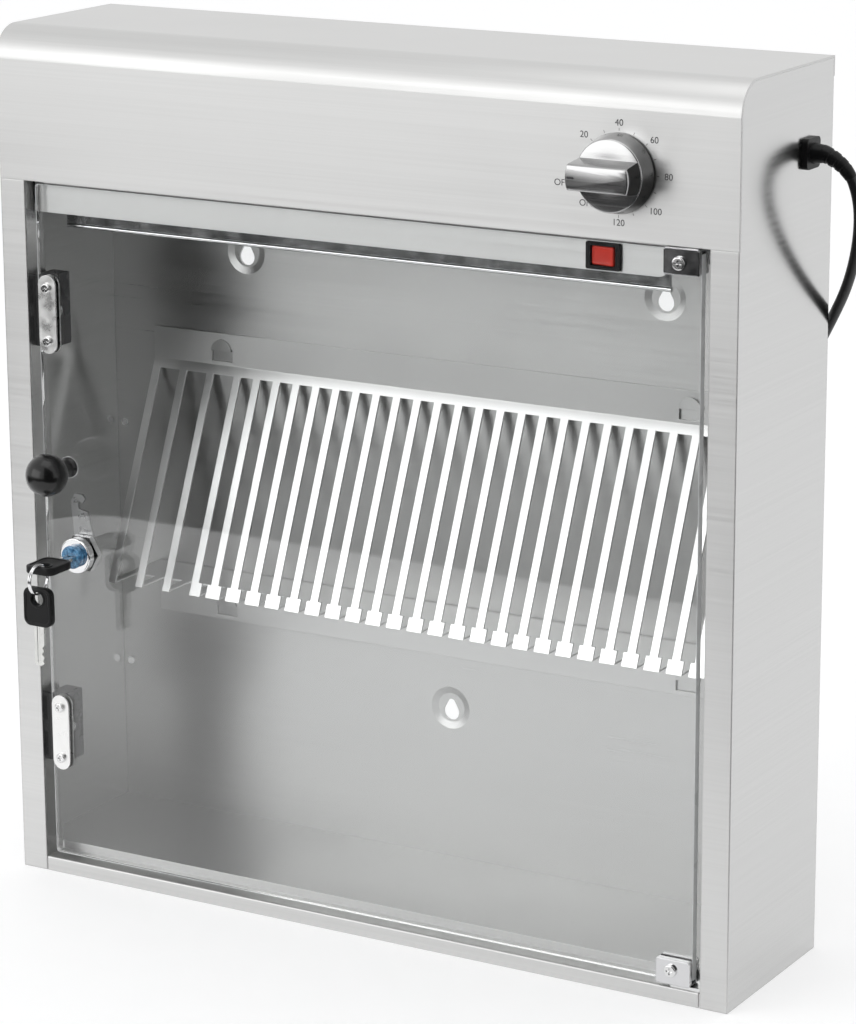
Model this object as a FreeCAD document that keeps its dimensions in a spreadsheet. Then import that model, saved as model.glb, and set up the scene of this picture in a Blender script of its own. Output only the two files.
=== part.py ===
"""Ultraviolet cabinet for kitchen knives, with a clear locking door, a slotted rack and a timed lamp.

Millimetres. X runs to the right, Y to the back and Z up. The origin is at the centre of the cabinet's base.
"""

import FreeCAD
import Part
import Sketcher
import math
import os
import re

V = FreeCAD.Vector

SIZES = {
    # Casing
    "width": 510.0,
    "height": 550.0,
    "depth": 122.0,
    "sheet": 1.2,
    "column_width": 18.0,
    "column_return": 22.0,
    "rear_flange": 14.0,
    "hood_face": 95.0,
    "hood_radius": 20.0,
    "hood_lip": 12.0,
    "hood_return": 10.0,
    "rail_height": 9.5,
    "rail_gap": 1.0,
    "floor_height": 15.0,
    "floor_flange": 10.0,
    "edge_round": 1.0,
    # Wall fixing keyholes
    "keyhole_spread": 300.0,
    "keyhole_high": 397.5,
    "keyhole_low": 115.5,
    "keyhole_radius": 5.5,
    "keyhole_neck": 2.8,
    "keyhole_rise": 5.7,
    "dish_radius": 14.0,
    "dish_floor": 9.5,
    # Knife rack and the lugs that carry it
    "rack_top": 343.0,
    "rack_bend": 322.0,
    "rack_shelf": 184.5,
    "rack_reach": 61.0,
    "rack_tail": 150.0,
    "bar_width": 5.5,
    "steel_pitch": 21.0,
    "steel_slots": 3.0,
    "knife_pitch": 15.0,
    "knife_slots": 25.0,
    "knife_slit": 4.4,
    "slit_length": 24.0,
    "foot_height": 7.0,
    "band_height": 6.0,
    "lug_spread": 338.0,
    "lug_radius": 7.5,
    "lug_high": 331.5,
    "lug_low": 160.0,
    "lug_gap": 0.4,
    "lug_window": 8.5,
    # Door
    "door_side_gap": 25.0,
    "door_recess": 2.0,
    "glass": 5.0,
    "glass_corner": 3.0,
    "hinge_inset": 29.0,
    "clamp_width": 22.5,
    "clamp_height": 16.0,
    "clamp_plate": 3.5,
    "clamp_web": 1.5,
    "clamp_overhang": 5.0,
    "pin_radius": 2.0,
    "pin_length": 6.0,
    "bush_wall": 1.2,
    "hinge_plate": 2.0,
    "hinge_plate_side": 9.0,
    "hinge_plate_front": 3.4,
    "hinge_plate_back": 14.0,
    "hinge_ear": 10.0,
    "hinge_ear_height": 12.0,
    "turning_gap": 0.06,
    "moving_gap": 0.3,
    "plate_width": 13.0,
    "plate_length": 50.0,
    "plate_inset": 7.0,
    "plate_sheet": 1.2,
    "plate_high": 371.0,
    "plate_low": 96.0,
    "plate_screws": 34.0,
    "catch_depth": 22.0,
    "catch_height": 46.0,
    "catch_width": 12.0,
    "catch_screw_inset": 5.0,
    "magnet_inset": 2.0,
    "magnet_depth": 5.0,
    "magnet_length": 16.0,
    "magnet_pitch": 24.0,
    "ball_radius": 13.5,
    "ball_height": 274.0,
    "ball_inset": 19.5,
    "ball_reach": 24.0,
    "ball_stem": 5.0,
    "washer_sheet": 1.0,
    "washer_rim": 2.0,
    # Lock and keys
    "lock_inset": 25.0,
    "lock_height": 217.5,
    "lock_flange": 11.5,
    "lock_flange_depth": 5.0,
    "lock_body": 9.0,
    "lock_plug": 6.0,
    "lock_tail": 6.0,
    "lock_rear": 5.0,
    "lock_face": 7.5,
    "lock_face_depth": 4.0,
    "lock_nut_flats": 22.0,
    "lock_nut_depth": 4.0,
    "cam_sheet": 1.5,
    "cam_reach": 37.0,
    "cam_hub": 8.0,
    "cam_round": 0.8,
    "cam_screw_reach": 3.0,
    "latch_below": 13.0,
    "latch_above": 24.0,
    "latch_room": 2.0,
    "key_blade": 26.0,
    "key_blade_width": 8.0,
    "key_blade_sheet": 2.2,
    "key_head": 25.0,
    "key_head_width": 21.0,
    "key_head_sheet": 5.0,
    "key_corner": 5.0,
    "key_cut_width": 2.0,
    "key_play": 0.1,
    "key_hole": 4.5,
    "key_web": 2.6,
    "key_stand": 11.0,
    "ring_radius": 9.3,
    "ring_wire": 0.7,
    "ring_slack": 0.9,
    # Timer
    "timer_inset": 76.0,
    "timer_drop": 56.5,
    "timer_body": 52.0,
    "timer_depth": 34.0,
    "timer_shaft": 3.0,
    "timer_shaft_reach": 18.0,
    "timer_shaft_seat": 6.0,
    "timer_shaft_hole": 4.0,
    "timer_screws": 28.0,
    "timer_screw_reach": 7.0,
    "timer_corner": 3.0,
    "knob_skirt": 23.3,
    "knob_skirt_depth": 3.2,
    "knob_drum": 21.0,
    "knob_drum_depth": 12.0,
    "knob_gap": 0.8,
    "knob_bar": 14.0,
    "knob_bar_length": 40.0,
    "knob_bar_depth": 15.0,
    "knob_mark": 11.0,
    "knob_mark_width": 1.6,
    "knob_mark_depth": 0.5,
    # Switch
    "switch_inset": 89.0,
    "switch_drop": 11.4,
    "switch_width": 22.0,
    "switch_height": 16.0,
    "switch_rim": 2.0,
    "switch_cutout_width": 19.0,
    "switch_cutout_height": 13.0,
    "switch_depth": 15.0,
    "switch_round": 1.2,
    "switch_well": 4.0,
    "rocker_width": 15.0,
    "rocker_height": 11.0,
    "rocker_depth": 3.4,
    "rocker_round": 0.8,
    "rocker_tilt": 7.0,
    # Lamp
    "shroud_drop": 20.4,
    "shroud_rise": 11.0,
    "shroud_end_gap": 49.0,
    "shroud_corner": 5.0,
    "lamp_left_gap": 28.8,
    "lamp_right_gap": 43.8,
    "lamp_depth": 68.0,
    "lamp_rise": 7.0,
    "lamp_radius": 13.0,
    "lamp_cap": 14.0,
    "lamp_pin": 1.2,
    "lamp_pin_length": 7.0,
    "lamp_pin_pitch": 12.7,
    "holder_width": 14.0,
    "holder_depth": 26.0,
    "holder_rise": 6.0,
    "holder_corner": 4.0,
    "bracket_height": 27.0,
    "bracket_width": 16.0,
    "bracket_foot": 14.0,
    "bracket_screw": 12.0,
    "reflector_left_gap": 30.0,
    "reflector_right_gap": 56.0,
    "reflector_sheet": 0.8,
    "reflector_front": 30.0,
    "reflector_edge_drop": 38.5,
    "reflector_knee_drop": 25.0,
    "reflector_bend_rise": 4.0,
    "reflector_rise": 28.0,
    "reflector_crown": 40.0,
    "reflector_flare": 16.0,
    "hem_radius": 1.6,
    "strap_width": 20.0,
    "strap_height": 20.0,
    "strap_spread": 300.0,
    # Electrical parts on the back panel
    "ballast_length": 150.0,
    "ballast_height": 41.0,
    "ballast_depth": 28.0,
    "ballast_x": -20.0,
    "ballast_foot": 12.0,
    "ballast_sheet": 1.5,
    "ballast_corner": 3.0,
    "shelf_drop": 50.0,
    "starter_inset": 60.0,
    "starter_radius": 10.75,
    "starter_length": 34.0,
    "starter_base": 10.0,
    "starter_rise": 6.0,
    "starter_rim": 3.0,
    "starter_round": 2.0,
    "terminal_inset": 50.0,
    "terminal_width": 30.0,
    "terminal_height": 17.0,
    "terminal_depth": 18.0,
    "terminal_seat": 6.0,
    "terminal_groove": 1.2,
    "wire_radius": 1.1,
    # Screws
    "screw_radius": 1.5,
    "screw_head": 3.2,
    "screw_head_depth": 2.0,
    # Mains lead
    "gland_y": 29.0,
    "gland_z": 498.0,
    "gland_flange": 18.0,
    "gland_flange_depth": 3.0,
    "gland_nose": 6.5,
    "gland_nose_depth": 7.0,
    "gland_hole": 6.0,
    "gland_neck": 4.0,
    "gland_corner": 3.0,
    "cord_radius": 3.25,
    "cord_inside": 30.0,
    "coil_x": 140.0,
    "coil_y": 120.0,
    "coil_lift": 1.0,
    "coil_inner": 27.25,
    "coil_gap": 0.5,
    "coil_turns": 2.0,
    "coil_tail": 46.0,
    "tie_width": 12.0,
    "tie_sheet": 0.7,
    "tie_gap": 0.3,
    "tie_inner_gap": 0.9,
    "tie_corner": 2.0,
    "plug_width": 50.0,
    "plug_length": 46.0,
    "plug_height": 22.0,
    "plug_corner": 6.0,
    "plug_neck": 6.0,
    "plug_nose": 7.0,
    "plug_pin_root": 6.0,
    "plug_pin_pitch": 22.2,
    "plug_pin_line": 12.0,
}

doc = FreeCAD.newDocument("knife_cabinet")
table = doc.addObject("Spreadsheet::Sheet", "Sizes")
for row, (alias, number) in enumerate(SIZES.items(), start=1):
    cell = "B%d" % row
    table.set("A%d" % row, alias)
    table.set(cell, str(number))
    table.setAlias(cell, alias)
doc.recompute()

# Places that many pieces share, as expressions of the sizes
LEFT = "(-width / 2)"
RIGHT = "(width / 2)"
FRONT = "(-depth / 2)"
BACK = "(depth / 2)"
WALL = "(depth / 2 - 2 * sheet)"
HOOD = "(height - hood_face)"
SHROUD = "(-depth / 2 + hood_return)"
GLASS_FRONT = "(-depth / 2 + door_recess)"
GLASS_BACK = "(-depth / 2 + door_recess + glass)"
DOOR_LEFT = "(-width / 2 + door_side_gap)"
HINGE_X = "(width / 2 - hinge_inset)"
HINGE_Y = "(-depth / 2 + door_recess + glass / 2)"
DOOR_RIGHT = "(width / 2 - hinge_inset + clamp_overhang)"
CLAMP_BASE = "(rail_height + hinge_plate + moving_gap)"
GLASS_BASE = "(rail_height + hinge_plate + moving_gap + clamp_web)"
CLAMP_TOP = "(height - hood_face - moving_gap)"
GLASS_TOP = "(height - hood_face - moving_gap - clamp_web)"
LOCK_X = "(-width / 2 + door_side_gap + lock_inset)"
LOCK_END = "(-depth / 2 + door_recess + glass + lock_rear)"
BALL_X = "(-width / 2 + door_side_gap + ball_inset)"
LAMP_LEFT = "(-width / 2 + lamp_left_gap)"
LAMP_RIGHT = "(width / 2 - lamp_right_gap)"
LAMP_Y = "(-depth / 2 + lamp_depth)"
LAMP_Z = "(height - hood_face + lamp_rise)"
REFLECTOR_TOP = "(height - hood_face + lamp_rise + reflector_rise)"
STRAP_SCREW_Z = "(height - hood_face + lamp_rise + reflector_rise + reflector_sheet + strap_height / 2)"
HOLDER_SCREW_Z = "(height - hood_face + lamp_rise + bracket_screw)"
SHELF = "(height - shelf_drop)"
STARTER_X = "(-width / 2 + starter_inset)"
TERMINAL_X = "(width / 2 - terminal_inset)"
TIMER_X = "(width / 2 - timer_inset)"
TIMER_Z = "(height - timer_drop)"
SWITCH_X = "(width / 2 - switch_inset)"
SWITCH_Z = "(height - hood_face - switch_drop)"
BRACKET_SCREW = (
    "(width / 2 - column_width - hinge_plate)",
    "(-depth / 2 + door_recess + glass / 2 + hinge_plate_back - hinge_ear / 2)",
    "(rail_height + hinge_plate + hinge_ear_height / 2)",
)
HOOD_SCREWS = ("-width / 2 + rear_flange / 2", "0", "width / 2 - rear_flange / 2")
HOOD_SCREW_Z = "(height - hood_lip / 2)"
RIVET_LEVELS = (("low", "height * 0.2"), ("mid", "height * 0.5"), ("high", "height * 0.8"))
RIVET_X = "(width / 2 - rear_flange / 2)"
CATCH_FRONT = "(-depth / 2 + door_recess + glass + plate_sheet + moving_gap)"
CATCH_SCREW_Y = "(-depth / 2 + column_return - catch_screw_inset)"
BALLAST_SCREW_LEFT = "(ballast_x - ballast_length / 2 + ballast_foot / 2)"
BALLAST_SCREW_RIGHT = "(ballast_x + ballast_length / 2 - ballast_foot / 2)"
HOLDER_SCREW_LEFT = "(-width / 2 + lamp_left_gap + bracket_foot / 2 + 1)"
HOLDER_SCREW_RIGHT = "(width / 2 - lamp_right_gap - bracket_foot / 2 - 1)"


def bind(text):
    """Writes an expression of size names the way the sheet's readers need it."""
    return re.sub(r"[a-z]\w*", lambda m: "Sizes." + m[0] if m[0] in SIZES else m[0], str(text))


def value(text):
    """The number that an expression of size names has now."""
    return float(table.evalExpression(bind(text)))


def drive(thing, prop, text):
    thing.setExpression(prop, bind(text))


def place(thing, x="0", y="0", z="0"):
    drive(thing, "Placement.Base.x", x)
    drive(thing, "Placement.Base.y", y)
    drive(thing, "Placement.Base.z", z)
    return thing


TURNS = {
    "z": FreeCAD.Rotation(),
    "-z": FreeCAD.Rotation(V(1, 0, 0), 180),
    "y": FreeCAD.Rotation(V(1, 0, 0), -90),
    "-y": FreeCAD.Rotation(V(1, 0, 0), 90),
    "x": FreeCAD.Rotation(V(0, 1, 0), 90),
    "-x": FreeCAD.Rotation(V(0, 1, 0), -90),
}


def block(name, x, y, z):
    """A box between two places along each axis."""
    made = doc.addObject("Part::Box", name)
    for prop, (low, high) in (("Length", x), ("Width", y), ("Height", z)):
        drive(made, prop, "(%s) - (%s)" % (high, low))
    return place(made, x[0], y[0], z[0])


def rod(name, radius, length, at, along="z"):
    made = doc.addObject("Part::Cylinder", name)
    made.Placement.Rotation = TURNS[along]
    drive(made, "Radius", radius)
    drive(made, "Height", length)
    return place(made, *at)


def cone(name, base, tip, length, at, along="z"):
    made = doc.addObject("Part::Cone", name)
    made.Placement.Rotation = TURNS[along]
    drive(made, "Radius1", base)
    drive(made, "Radius2", tip)
    drive(made, "Height", length)
    return place(made, *at)


def ball(name, radius, at):
    made = doc.addObject("Part::Sphere", name)
    drive(made, "Radius", radius)
    return place(made, *at)


def fuse(name, *shapes):
    made = doc.addObject("Part::MultiFuse", name)
    made.Shapes = list(shapes)
    return made


def cut(name, base, *tools):
    made = doc.addObject("Part::Cut", name)
    made.Base = base
    made.Tool = tools[0] if len(tools) == 1 else fuse(name + "_tools", *tools)
    return made


def common(name, *shapes):
    made = doc.addObject("Part::MultiCommon", name)
    made.Shapes = list(shapes)
    return made


def group(name, *shapes):
    """Several separate solids that share one node."""
    made = doc.addObject("Part::Compound", name)
    made.Links = list(shapes)
    return made


def rounded(name, base, radius, test):
    """Rounds the edges of a solid whose middle point passes the test."""
    doc.recompute()
    size = value(radius)
    picked = []
    for number, edge in enumerate(base.Shape.Edges, start=1):
        middle = edge.valueAt((edge.FirstParameter + edge.LastParameter) / 2)
        if test(edge, middle):
            picked.append((number, size, size))
    made = doc.addObject("Part::Fillet", name)
    made.Base = base
    made.Edges = picked
    return made


def along(axis):
    """A test for straight edges that run along an axis."""
    way = {"x": V(1, 0, 0), "y": V(0, 1, 0), "z": V(0, 0, 1)}[axis]

    def test(edge, middle):
        return edge.Curve.TypeId == "Part::GeomLine" and abs(edge.Curve.Direction.dot(way)) > 0.99

    return test


def outline(body, plane, corners):
    """A closed sketch whose corners are all held by expressions."""
    sketch = body.newObject("Sketcher::SketchObject", body.Name + "_outline")
    support = [f for f in body.Origin.OriginFeatures if f.Role == plane][0]
    sketch.AttachmentSupport = [(support, "")]
    sketch.MapMode = "FlatFace"
    points = [V(value(u), value(v), 0) for u, v in corners]
    count = len(corners)
    for i in range(count):
        sketch.addGeometry(Part.LineSegment(points[i], points[(i + 1) % count]), False)
    for i in range(count):
        sketch.addConstraint(Sketcher.Constraint("Coincident", i, 2, (i + 1) % count, 1))
    for i, corner in enumerate(corners):
        for kind, text in zip(("DistanceX", "DistanceY"), corner):
            held = sketch.addConstraint(Sketcher.Constraint(kind, -1, 1, i, 1, value(text)))
            sketch.setExpression("Constraints[%d]" % held, bind(text))
    return sketch


def profile(name, plane, corners, length, at=("0", "0", "0")):
    """A body padded from an outline: XY pads up, YZ pads to +X and XZ pads to -Y."""
    body = doc.addObject("PartDesign::Body", name)
    pad = body.newObject("PartDesign::Pad", name + "_pad")
    pad.Profile = outline(body, plane, corners)
    drive(pad, "Length", length)
    body.Tip = pad
    place(body, *at)
    doc.recompute()
    return body


def soften(body, radius, test):
    """Adds a fillet to a body, on the edges whose middle point passes the test."""
    base = body.Tip
    names = []
    for number, edge in enumerate(base.Shape.Edges, start=1):
        middle = edge.valueAt((edge.FirstParameter + edge.LastParameter) / 2)
        if test(edge, middle):
            names.append("Edge%d" % number)
    fillet = body.newObject("PartDesign::Fillet", body.Name + "_fillet%d" % len(body.Group))
    fillet.Base = (base, names)
    drive(fillet, "Radius", radius)
    body.Tip = fillet
    doc.recompute()
    return body


def in_front(y):
    """A test for edges that lie at a place along Y, or before it."""
    goal = value(y) + 0.1

    def test(edge, middle):
        return edge.BoundBox.YMax < goal

    return test


def near(u, v, axes):
    """A test for edges whose middle lies at two coordinates, along the axis that is left."""
    goal = (value(u), value(v))

    def test(edge, middle):
        here = [getattr(middle, a) for a in axes]
        return abs(here[0] - goal[0]) < 0.05 and abs(here[1] - goal[1]) < 0.05

    return test


def span(side, low, high):
    """A range along X measured inwards from the left (-1) or right (1) outer face."""
    if side < 0:
        return ("-width / 2 + (%s)" % low, "-width / 2 + (%s)" % high)
    return ("width / 2 - (%s)" % high, "width / 2 - (%s)" % low)


def screw(name, at, way, length, head_radius="screw_head"):
    """A pan head screw with a cross recess: its head stands on the place given, its shank runs the other way."""
    x, y, z = at
    back = {"y": "-y", "-y": "y", "x": "-x", "-x": "x", "z": "-z", "-z": "z"}[way]
    head = rod(name + "_head", head_radius, "screw_head_depth", at, way)
    domed = rounded(name + "_domed", head, "screw_head_depth * 0.45", crown(way, at))
    shank = rod(name + "_shank", "screw_radius", length, at, back)
    reach = value(head_radius)
    bars = []
    for number in (0, 1):
        bar = doc.addObject("Part::Box", name + "_recess%d" % number)
        drive(bar, "Length", head_radius + " * 1.1")
        drive(bar, "Width", head_radius + " * 0.26")
        drive(bar, "Height", "screw_head_depth")
        turn = TURNS[way].multiply(FreeCAD.Rotation(V(0, 0, 1), 90 * number))
        corner = turn.multVec(V(-reach * 0.55, -reach * 0.13, value("screw_head_depth") / 2))
        bar.Placement = FreeCAD.Placement(V(value(x), value(y), value(z)) + corner, turn)
        bars.append(bar)
    return cut(name, fuse(name + "_solid", domed, shank), *bars)


def crown(way, at):
    """A test for the rim of a screw head, on the side that the head points to."""
    goal = V(*[value(a) for a in at]) + TURNS[way].multVec(V(0, 0, value("screw_head_depth")))

    def test(edge, middle):
        offset = edge.BoundBox.Center - goal
        return edge.Curve.TypeId == "Part::GeomCircle" and offset.Length < 0.01

    return test


def countersink(name, at, inward):
    """The flat head of a flush screw, or the seat cut for it, from a face inward."""
    return cone(name, "screw_radius * 1.8", "screw_radius", "sheet * 0.6", at, inward)


def flush_screw(name, at, inward, length):
    """A countersunk screw whose head lies level with the face at the place given."""
    head = countersink(name + "_head", at, inward)
    shank = rod(name + "_shank", "screw_radius", length, at, inward)
    return fuse(name, head, shank)


nodes = []


def node(label, made):
    """Names a sub-part: its label is the name of its file."""
    made.Label = label
    nodes.append(made)
    return made


# Casing

def casing():
    shell = profile(
        "hood_shell",
        "YZ_Plane",
        [
            (FRONT, HOOD),
            (FRONT, "height"),
            (BACK + " + sheet", "height"),
            (BACK + " + sheet", "height - hood_lip"),
            (BACK, "height - hood_lip"),
            (BACK, "height - sheet"),
            (FRONT + " + sheet", "height - sheet"),
            (FRONT + " + sheet", HOOD),
        ],
        "width",
        (LEFT, "0", "0"),
    )
    soften(shell, "hood_radius", near(FRONT, "height", "yz"))
    soften(shell, "hood_radius - sheet", near(FRONT + " + sheet", "height - sheet", "yz"))
    lip = block("hood_return", (LEFT + " + sheet", RIGHT + " - sheet"), (FRONT, SHROUD),
                (HOOD, HOOD + " + sheet"))
    holes = [
        rod("hood_shaft_hole", "timer_shaft_hole", "sheet * 3", (TIMER_X, FRONT + " - sheet", TIMER_Z), "y"),
        rod("hood_bush_hole", "pin_radius + turning_gap + bush_wall", "sheet * 3",
            (HINGE_X, HINGE_Y, HOOD + " - sheet")),
    ]
    for side in (-1, 1):
        x = TIMER_X + " + %d * timer_screws / 2" % side
        holes.append(
            rod("hood_timer_hole%d" % (side + 1), "screw_radius", "sheet * 3",
                (x, FRONT + " - sheet", TIMER_Z), "y"))
        holes.append(countersink("hood_timer_sink%d" % (side + 1), (x, FRONT, TIMER_Z), "y"))
    for number, x in enumerate(HOOD_SCREWS):
        holes.append(
            rod("hood_lip_hole%d" % number, "screw_radius", "sheet * 3", (x, BACK + " - sheet", HOOD_SCREW_Z),
                "y"))
        holes.append(countersink("hood_lip_sink%d" % number, (x, BACK + " + sheet", HOOD_SCREW_Z), "-y"))
    node("hood", cut("hood_cut", fuse("hood_solid", shell, lip), *holes))

    for side, name in ((-1, "left"), (1, "right")):
        wall = profile(
            name + "_wall",
            "YZ_Plane",
            [
                (FRONT, "0"),
                (BACK, "0"),
                (BACK, "height - sheet"),
                (FRONT + " + sheet", "height - sheet"),
                (FRONT + " + sheet", HOOD),
                (FRONT, HOOD),
            ],
            "sheet",
            (span(side, "0", "sheet")[0], "0", "0"),
        )
        soften(wall, "hood_radius - sheet", near(FRONT + " + sheet", "height - sheet", "yz"))
        column = block(name + "_column", span(side, "0", "column_width"), (FRONT, FRONT + " + sheet"),
                       ("0", HOOD))
        inner = span(side, "column_width - sheet", "column_width")
        lip = block(name + "_lip", inner, (FRONT, FRONT + " + column_return"), ("0", HOOD))
        rear = block(name + "_rear", span(side, "0", "rear_flange"), (BACK + " - sheet", BACK),
                     ("0", "height - sheet"))
        holes = []
        for level, height in (("high", "plate_high"), ("low", "plate_low")):
            if side < 0:
                holes.append(
                    rod("catch_screw_hole_" + level, "screw_radius", "sheet * 3",
                        (LEFT + " + column_width - sheet * 2", CATCH_SCREW_Y, height), "x"))
        if side < 0:
            holes.append(
                block("latch_slot", (LEFT + " + column_width - sheet * 2", LEFT + " + column_width + sheet"),
                      (LOCK_END + " - latch_room / 2", LOCK_END + " + cam_sheet + latch_room"),
                      ("lock_height - latch_below", "lock_height + latch_above")))
        else:
            holes.append(
                rod("gland_hole_cut", "gland_hole", "sheet * 3",
                    (RIGHT + " - sheet * 2", "gland_y", "gland_z"), "x"))
            holes.append(rod("hinge_plate_hole", "screw_radius", "sheet * 3",
                             (RIGHT + " - column_width - sheet",) + BRACKET_SCREW[1:], "x"))
        for level, height in RIVET_LEVELS:
            holes.append(
                rod(name + "_rivet_hole_" + level, "screw_radius", "sheet * 3",
                    ("%d * %s" % (side, RIVET_X), BACK + " - sheet * 2", height), "y"))
        holes.append(
            rod(name + "_lip_hole", "screw_radius", "sheet * 3",
                (HOOD_SCREWS[side + 1], BACK + " - sheet * 2", HOOD_SCREW_Z), "y"))
        solid = fuse(name + "_panel_solid", wall, column, lip, rear)
        node(name + "_side_panel", cut(name + "_panel_cut", solid, *holes))


def teardrop(name, x, z):
    """The hole of a wall fixing: wide below for the screw's head, narrow above for its shank."""
    lean = "asin((keyhole_radius - keyhole_neck) / keyhole_rise)"
    far = WALL + " + sheet * 3"
    near_face = WALL + " - sheet"
    wide = rod(name + "_wide", "keyhole_radius", "sheet * 4", (x, near_face, z), "y")
    neck = rod(name + "_neck", "keyhole_neck", "sheet * 4", (x, near_face, z + " + keyhole_rise"), "y")
    taper = doc.addObject("Part::Wedge", name + "_taper")
    taper.Placement.Rotation = TURNS["-y"]
    wide_half = "keyhole_radius * cos(%s)" % lean
    neck_half = "keyhole_neck * cos(%s)" % lean
    for prop, text in (
        ("Xmin", "-" + wide_half), ("Xmax", wide_half), ("X2min", "-" + neck_half), ("X2max", neck_half),
        ("Ymin", "keyhole_radius * sin(%s)" % lean),
        ("Ymax", "keyhole_rise + keyhole_neck * sin(%s)" % lean),
        ("Zmin", "0"), ("Zmax", "sheet * 4"), ("Z2min", "0"), ("Z2max", "sheet * 4"),
    ):
        drive(taper, prop, text)
    place(taper, x, far, z)
    return fuse(name, wide, neck, taper)


def lug(name, x, z):
    """A half round lug lanced out of the back panel: a web and an upright lip that the rack hangs on."""
    lip_back = WALL + " - lug_gap * 2 - sheet"
    disc = rod(name + "_disc", "lug_radius", "sheet", (x, lip_back + " - sheet", z), "y")
    upper = block(name + "_upper", (x + " - lug_radius", x + " + lug_radius"),
                  (lip_back + " - sheet", lip_back),
                  (z, z + " + lug_radius + 1"))
    web = block(name + "_web", (x + " - lug_radius", x + " + lug_radius"),
                (lip_back + " - sheet", WALL + " + sheet"),
                (z, z + " + sheet"))
    return fuse(name, common(name + "_lip", disc, upper), web)


def lug_window(name, x, z):
    return block(name, (x + " - lug_radius", x + " + lug_radius"), (WALL + " - sheet", WALL + " + sheet * 2"),
                 (z + " + sheet", z + " + sheet + lug_radius"))


def back_panel():
    wall = block("back_wall", (LEFT + " + sheet", RIGHT + " - sheet"), (WALL, WALL + " + sheet"),
                 ("0", "height - sheet"))
    dishes = []
    holes = []
    for name, x, z in (
        ("keyhole_left", "-keyhole_spread / 2", "keyhole_high"),
        ("keyhole_right", "keyhole_spread / 2", "keyhole_high"),
        ("keyhole_low", "0", "keyhole_low"),
    ):
        dishes.append(cone(name + "_boss", "dish_radius", "dish_floor", "sheet", (x, WALL + " + sheet", z),
                           "y"))
        holes.append(cone(name + "_dish", "dish_radius", "dish_floor", "sheet", (x, WALL, z), "y"))
        holes.append(teardrop(name, x, z + " - keyhole_rise / 2"))
    lugs = []
    for side in (-1, 1):
        x = "%d * lug_spread / 2" % side
        for level in ("lug_high", "lug_low"):
            name = "lug%d_%s" % (side + 1, level)
            lugs.append(lug(name, x, level))
            holes.append(lug_window(name + "_window", x, level))
    screws = [
        (BALLAST_SCREW_LEFT, SHELF + " + ballast_height / 2"),
        (BALLAST_SCREW_RIGHT, SHELF + " + ballast_height / 2"),
        ("-strap_spread / 2", STRAP_SCREW_Z),
        ("strap_spread / 2", STRAP_SCREW_Z),
        (TERMINAL_X, SHELF + " + terminal_height / 2"),
        (HOLDER_SCREW_LEFT, HOLDER_SCREW_Z),
        (HOLDER_SCREW_RIGHT, HOLDER_SCREW_Z),
    ]
    for number, (x, z) in enumerate(screws):
        holes.append(rod("back_hole%d" % number, "screw_radius", "sheet * 4", (x, WALL + " - sheet", z), "y"))
    for side in (-1, 1):
        for level, height in RIVET_LEVELS:
            holes.append(
                rod("back_rivet_hole%d_%s" % (side + 1, level), "screw_radius", "sheet * 4",
                    ("%d * %s" % (side, RIVET_X), WALL + " - sheet", height), "y"))
    for number, x in enumerate(HOOD_SCREWS):
        holes.append(
            rod("back_lip_hole%d" % number, "screw_radius", "sheet * 4", (x, WALL + " - sheet", HOOD_SCREW_Z),
                "y"))
    plain = cut("back_plain", fuse("back_solid", wall, *dishes), *holes)
    node("back_panel", fuse("back_with_lugs", plain, *lugs))


def bottom_panel():
    step = FRONT + " + column_return"
    front = profile(
        "bottom_front",
        "YZ_Plane",
        [
            (FRONT, "0"),
            (FRONT, "rail_height"),
            (step + " - sheet", "rail_height"),
            (step + " - sheet", "floor_height"),
            (step, "floor_height"),
            (step, "rail_height - sheet"),
            (FRONT + " + sheet", "rail_height - sheet"),
            (FRONT + " + sheet", "0"),
        ],
        "width - 2 * (column_width + rail_gap)",
        (LEFT + " + column_width + rail_gap", "0", "0"),
    )
    soften(front, "sheet * 0.9", near(FRONT, "rail_height", "yz"))
    floor = block("bottom_floor", (LEFT + " + sheet", RIGHT + " - sheet"), (step, WALL),
                  ("floor_height - sheet", "floor_height"))
    flanges = [
        block("bottom_flange%d" % (side + 1), span(side, "sheet", "2 * sheet"), (step, WALL),
              ("floor_height - floor_flange", "floor_height"))
        for side in (-1, 1)
    ]
    bore = rod("bottom_bush_hole", "pin_radius + turning_gap + bush_wall", "sheet * 3",
               (HINGE_X, HINGE_Y, "rail_height - sheet * 2"))
    node("bottom_panel", cut("bottom_cut", fuse("bottom_solid", front, floor, *flanges), bore))


def casing_screws():
    screws = []
    for number, x in enumerate(HOOD_SCREWS):
        screws.append(flush_screw("hood_screw%d" % number, (x, BACK + " + sheet", HOOD_SCREW_Z), "-y",
                                  "sheet * 3"))
    for level in ("plate_high", "plate_low"):
        at = (LEFT + " + column_width + catch_width", CATCH_SCREW_Y, level)
        screws.append(screw("catch_screw_" + level, at, "x", "catch_width + sheet"))
    screws.append(screw("bracket_screw", BRACKET_SCREW, "-x", "hinge_plate + sheet"))
    node("cabinet_screws", group("cabinet_screw_group", *screws))
    rivets = []
    for side in (-1, 1):
        for level, height in RIVET_LEVELS:
            name = "rivet%d_%s" % (side + 1, level)
            at = ("%d * %s" % (side, RIVET_X), WALL + " - sheet * 0.7", height)
            head = rod(name + "_head", "screw_head * 0.8", "sheet * 0.7", at, "y")
            shank = rod(name + "_shank", "screw_radius", "sheet * 2.7", at, "y")
            rivets.append(fuse(name, head, shank))
    node("casing_rivets", group("rivet_group", *rivets))


# Knife rack

RACK_WIDTH = "(steel_slots * steel_pitch + knife_slots * knife_pitch + bar_width)"
RACK_LEFT = "(-(steel_slots * steel_pitch + knife_slots * knife_pitch + bar_width) / 2)"


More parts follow.
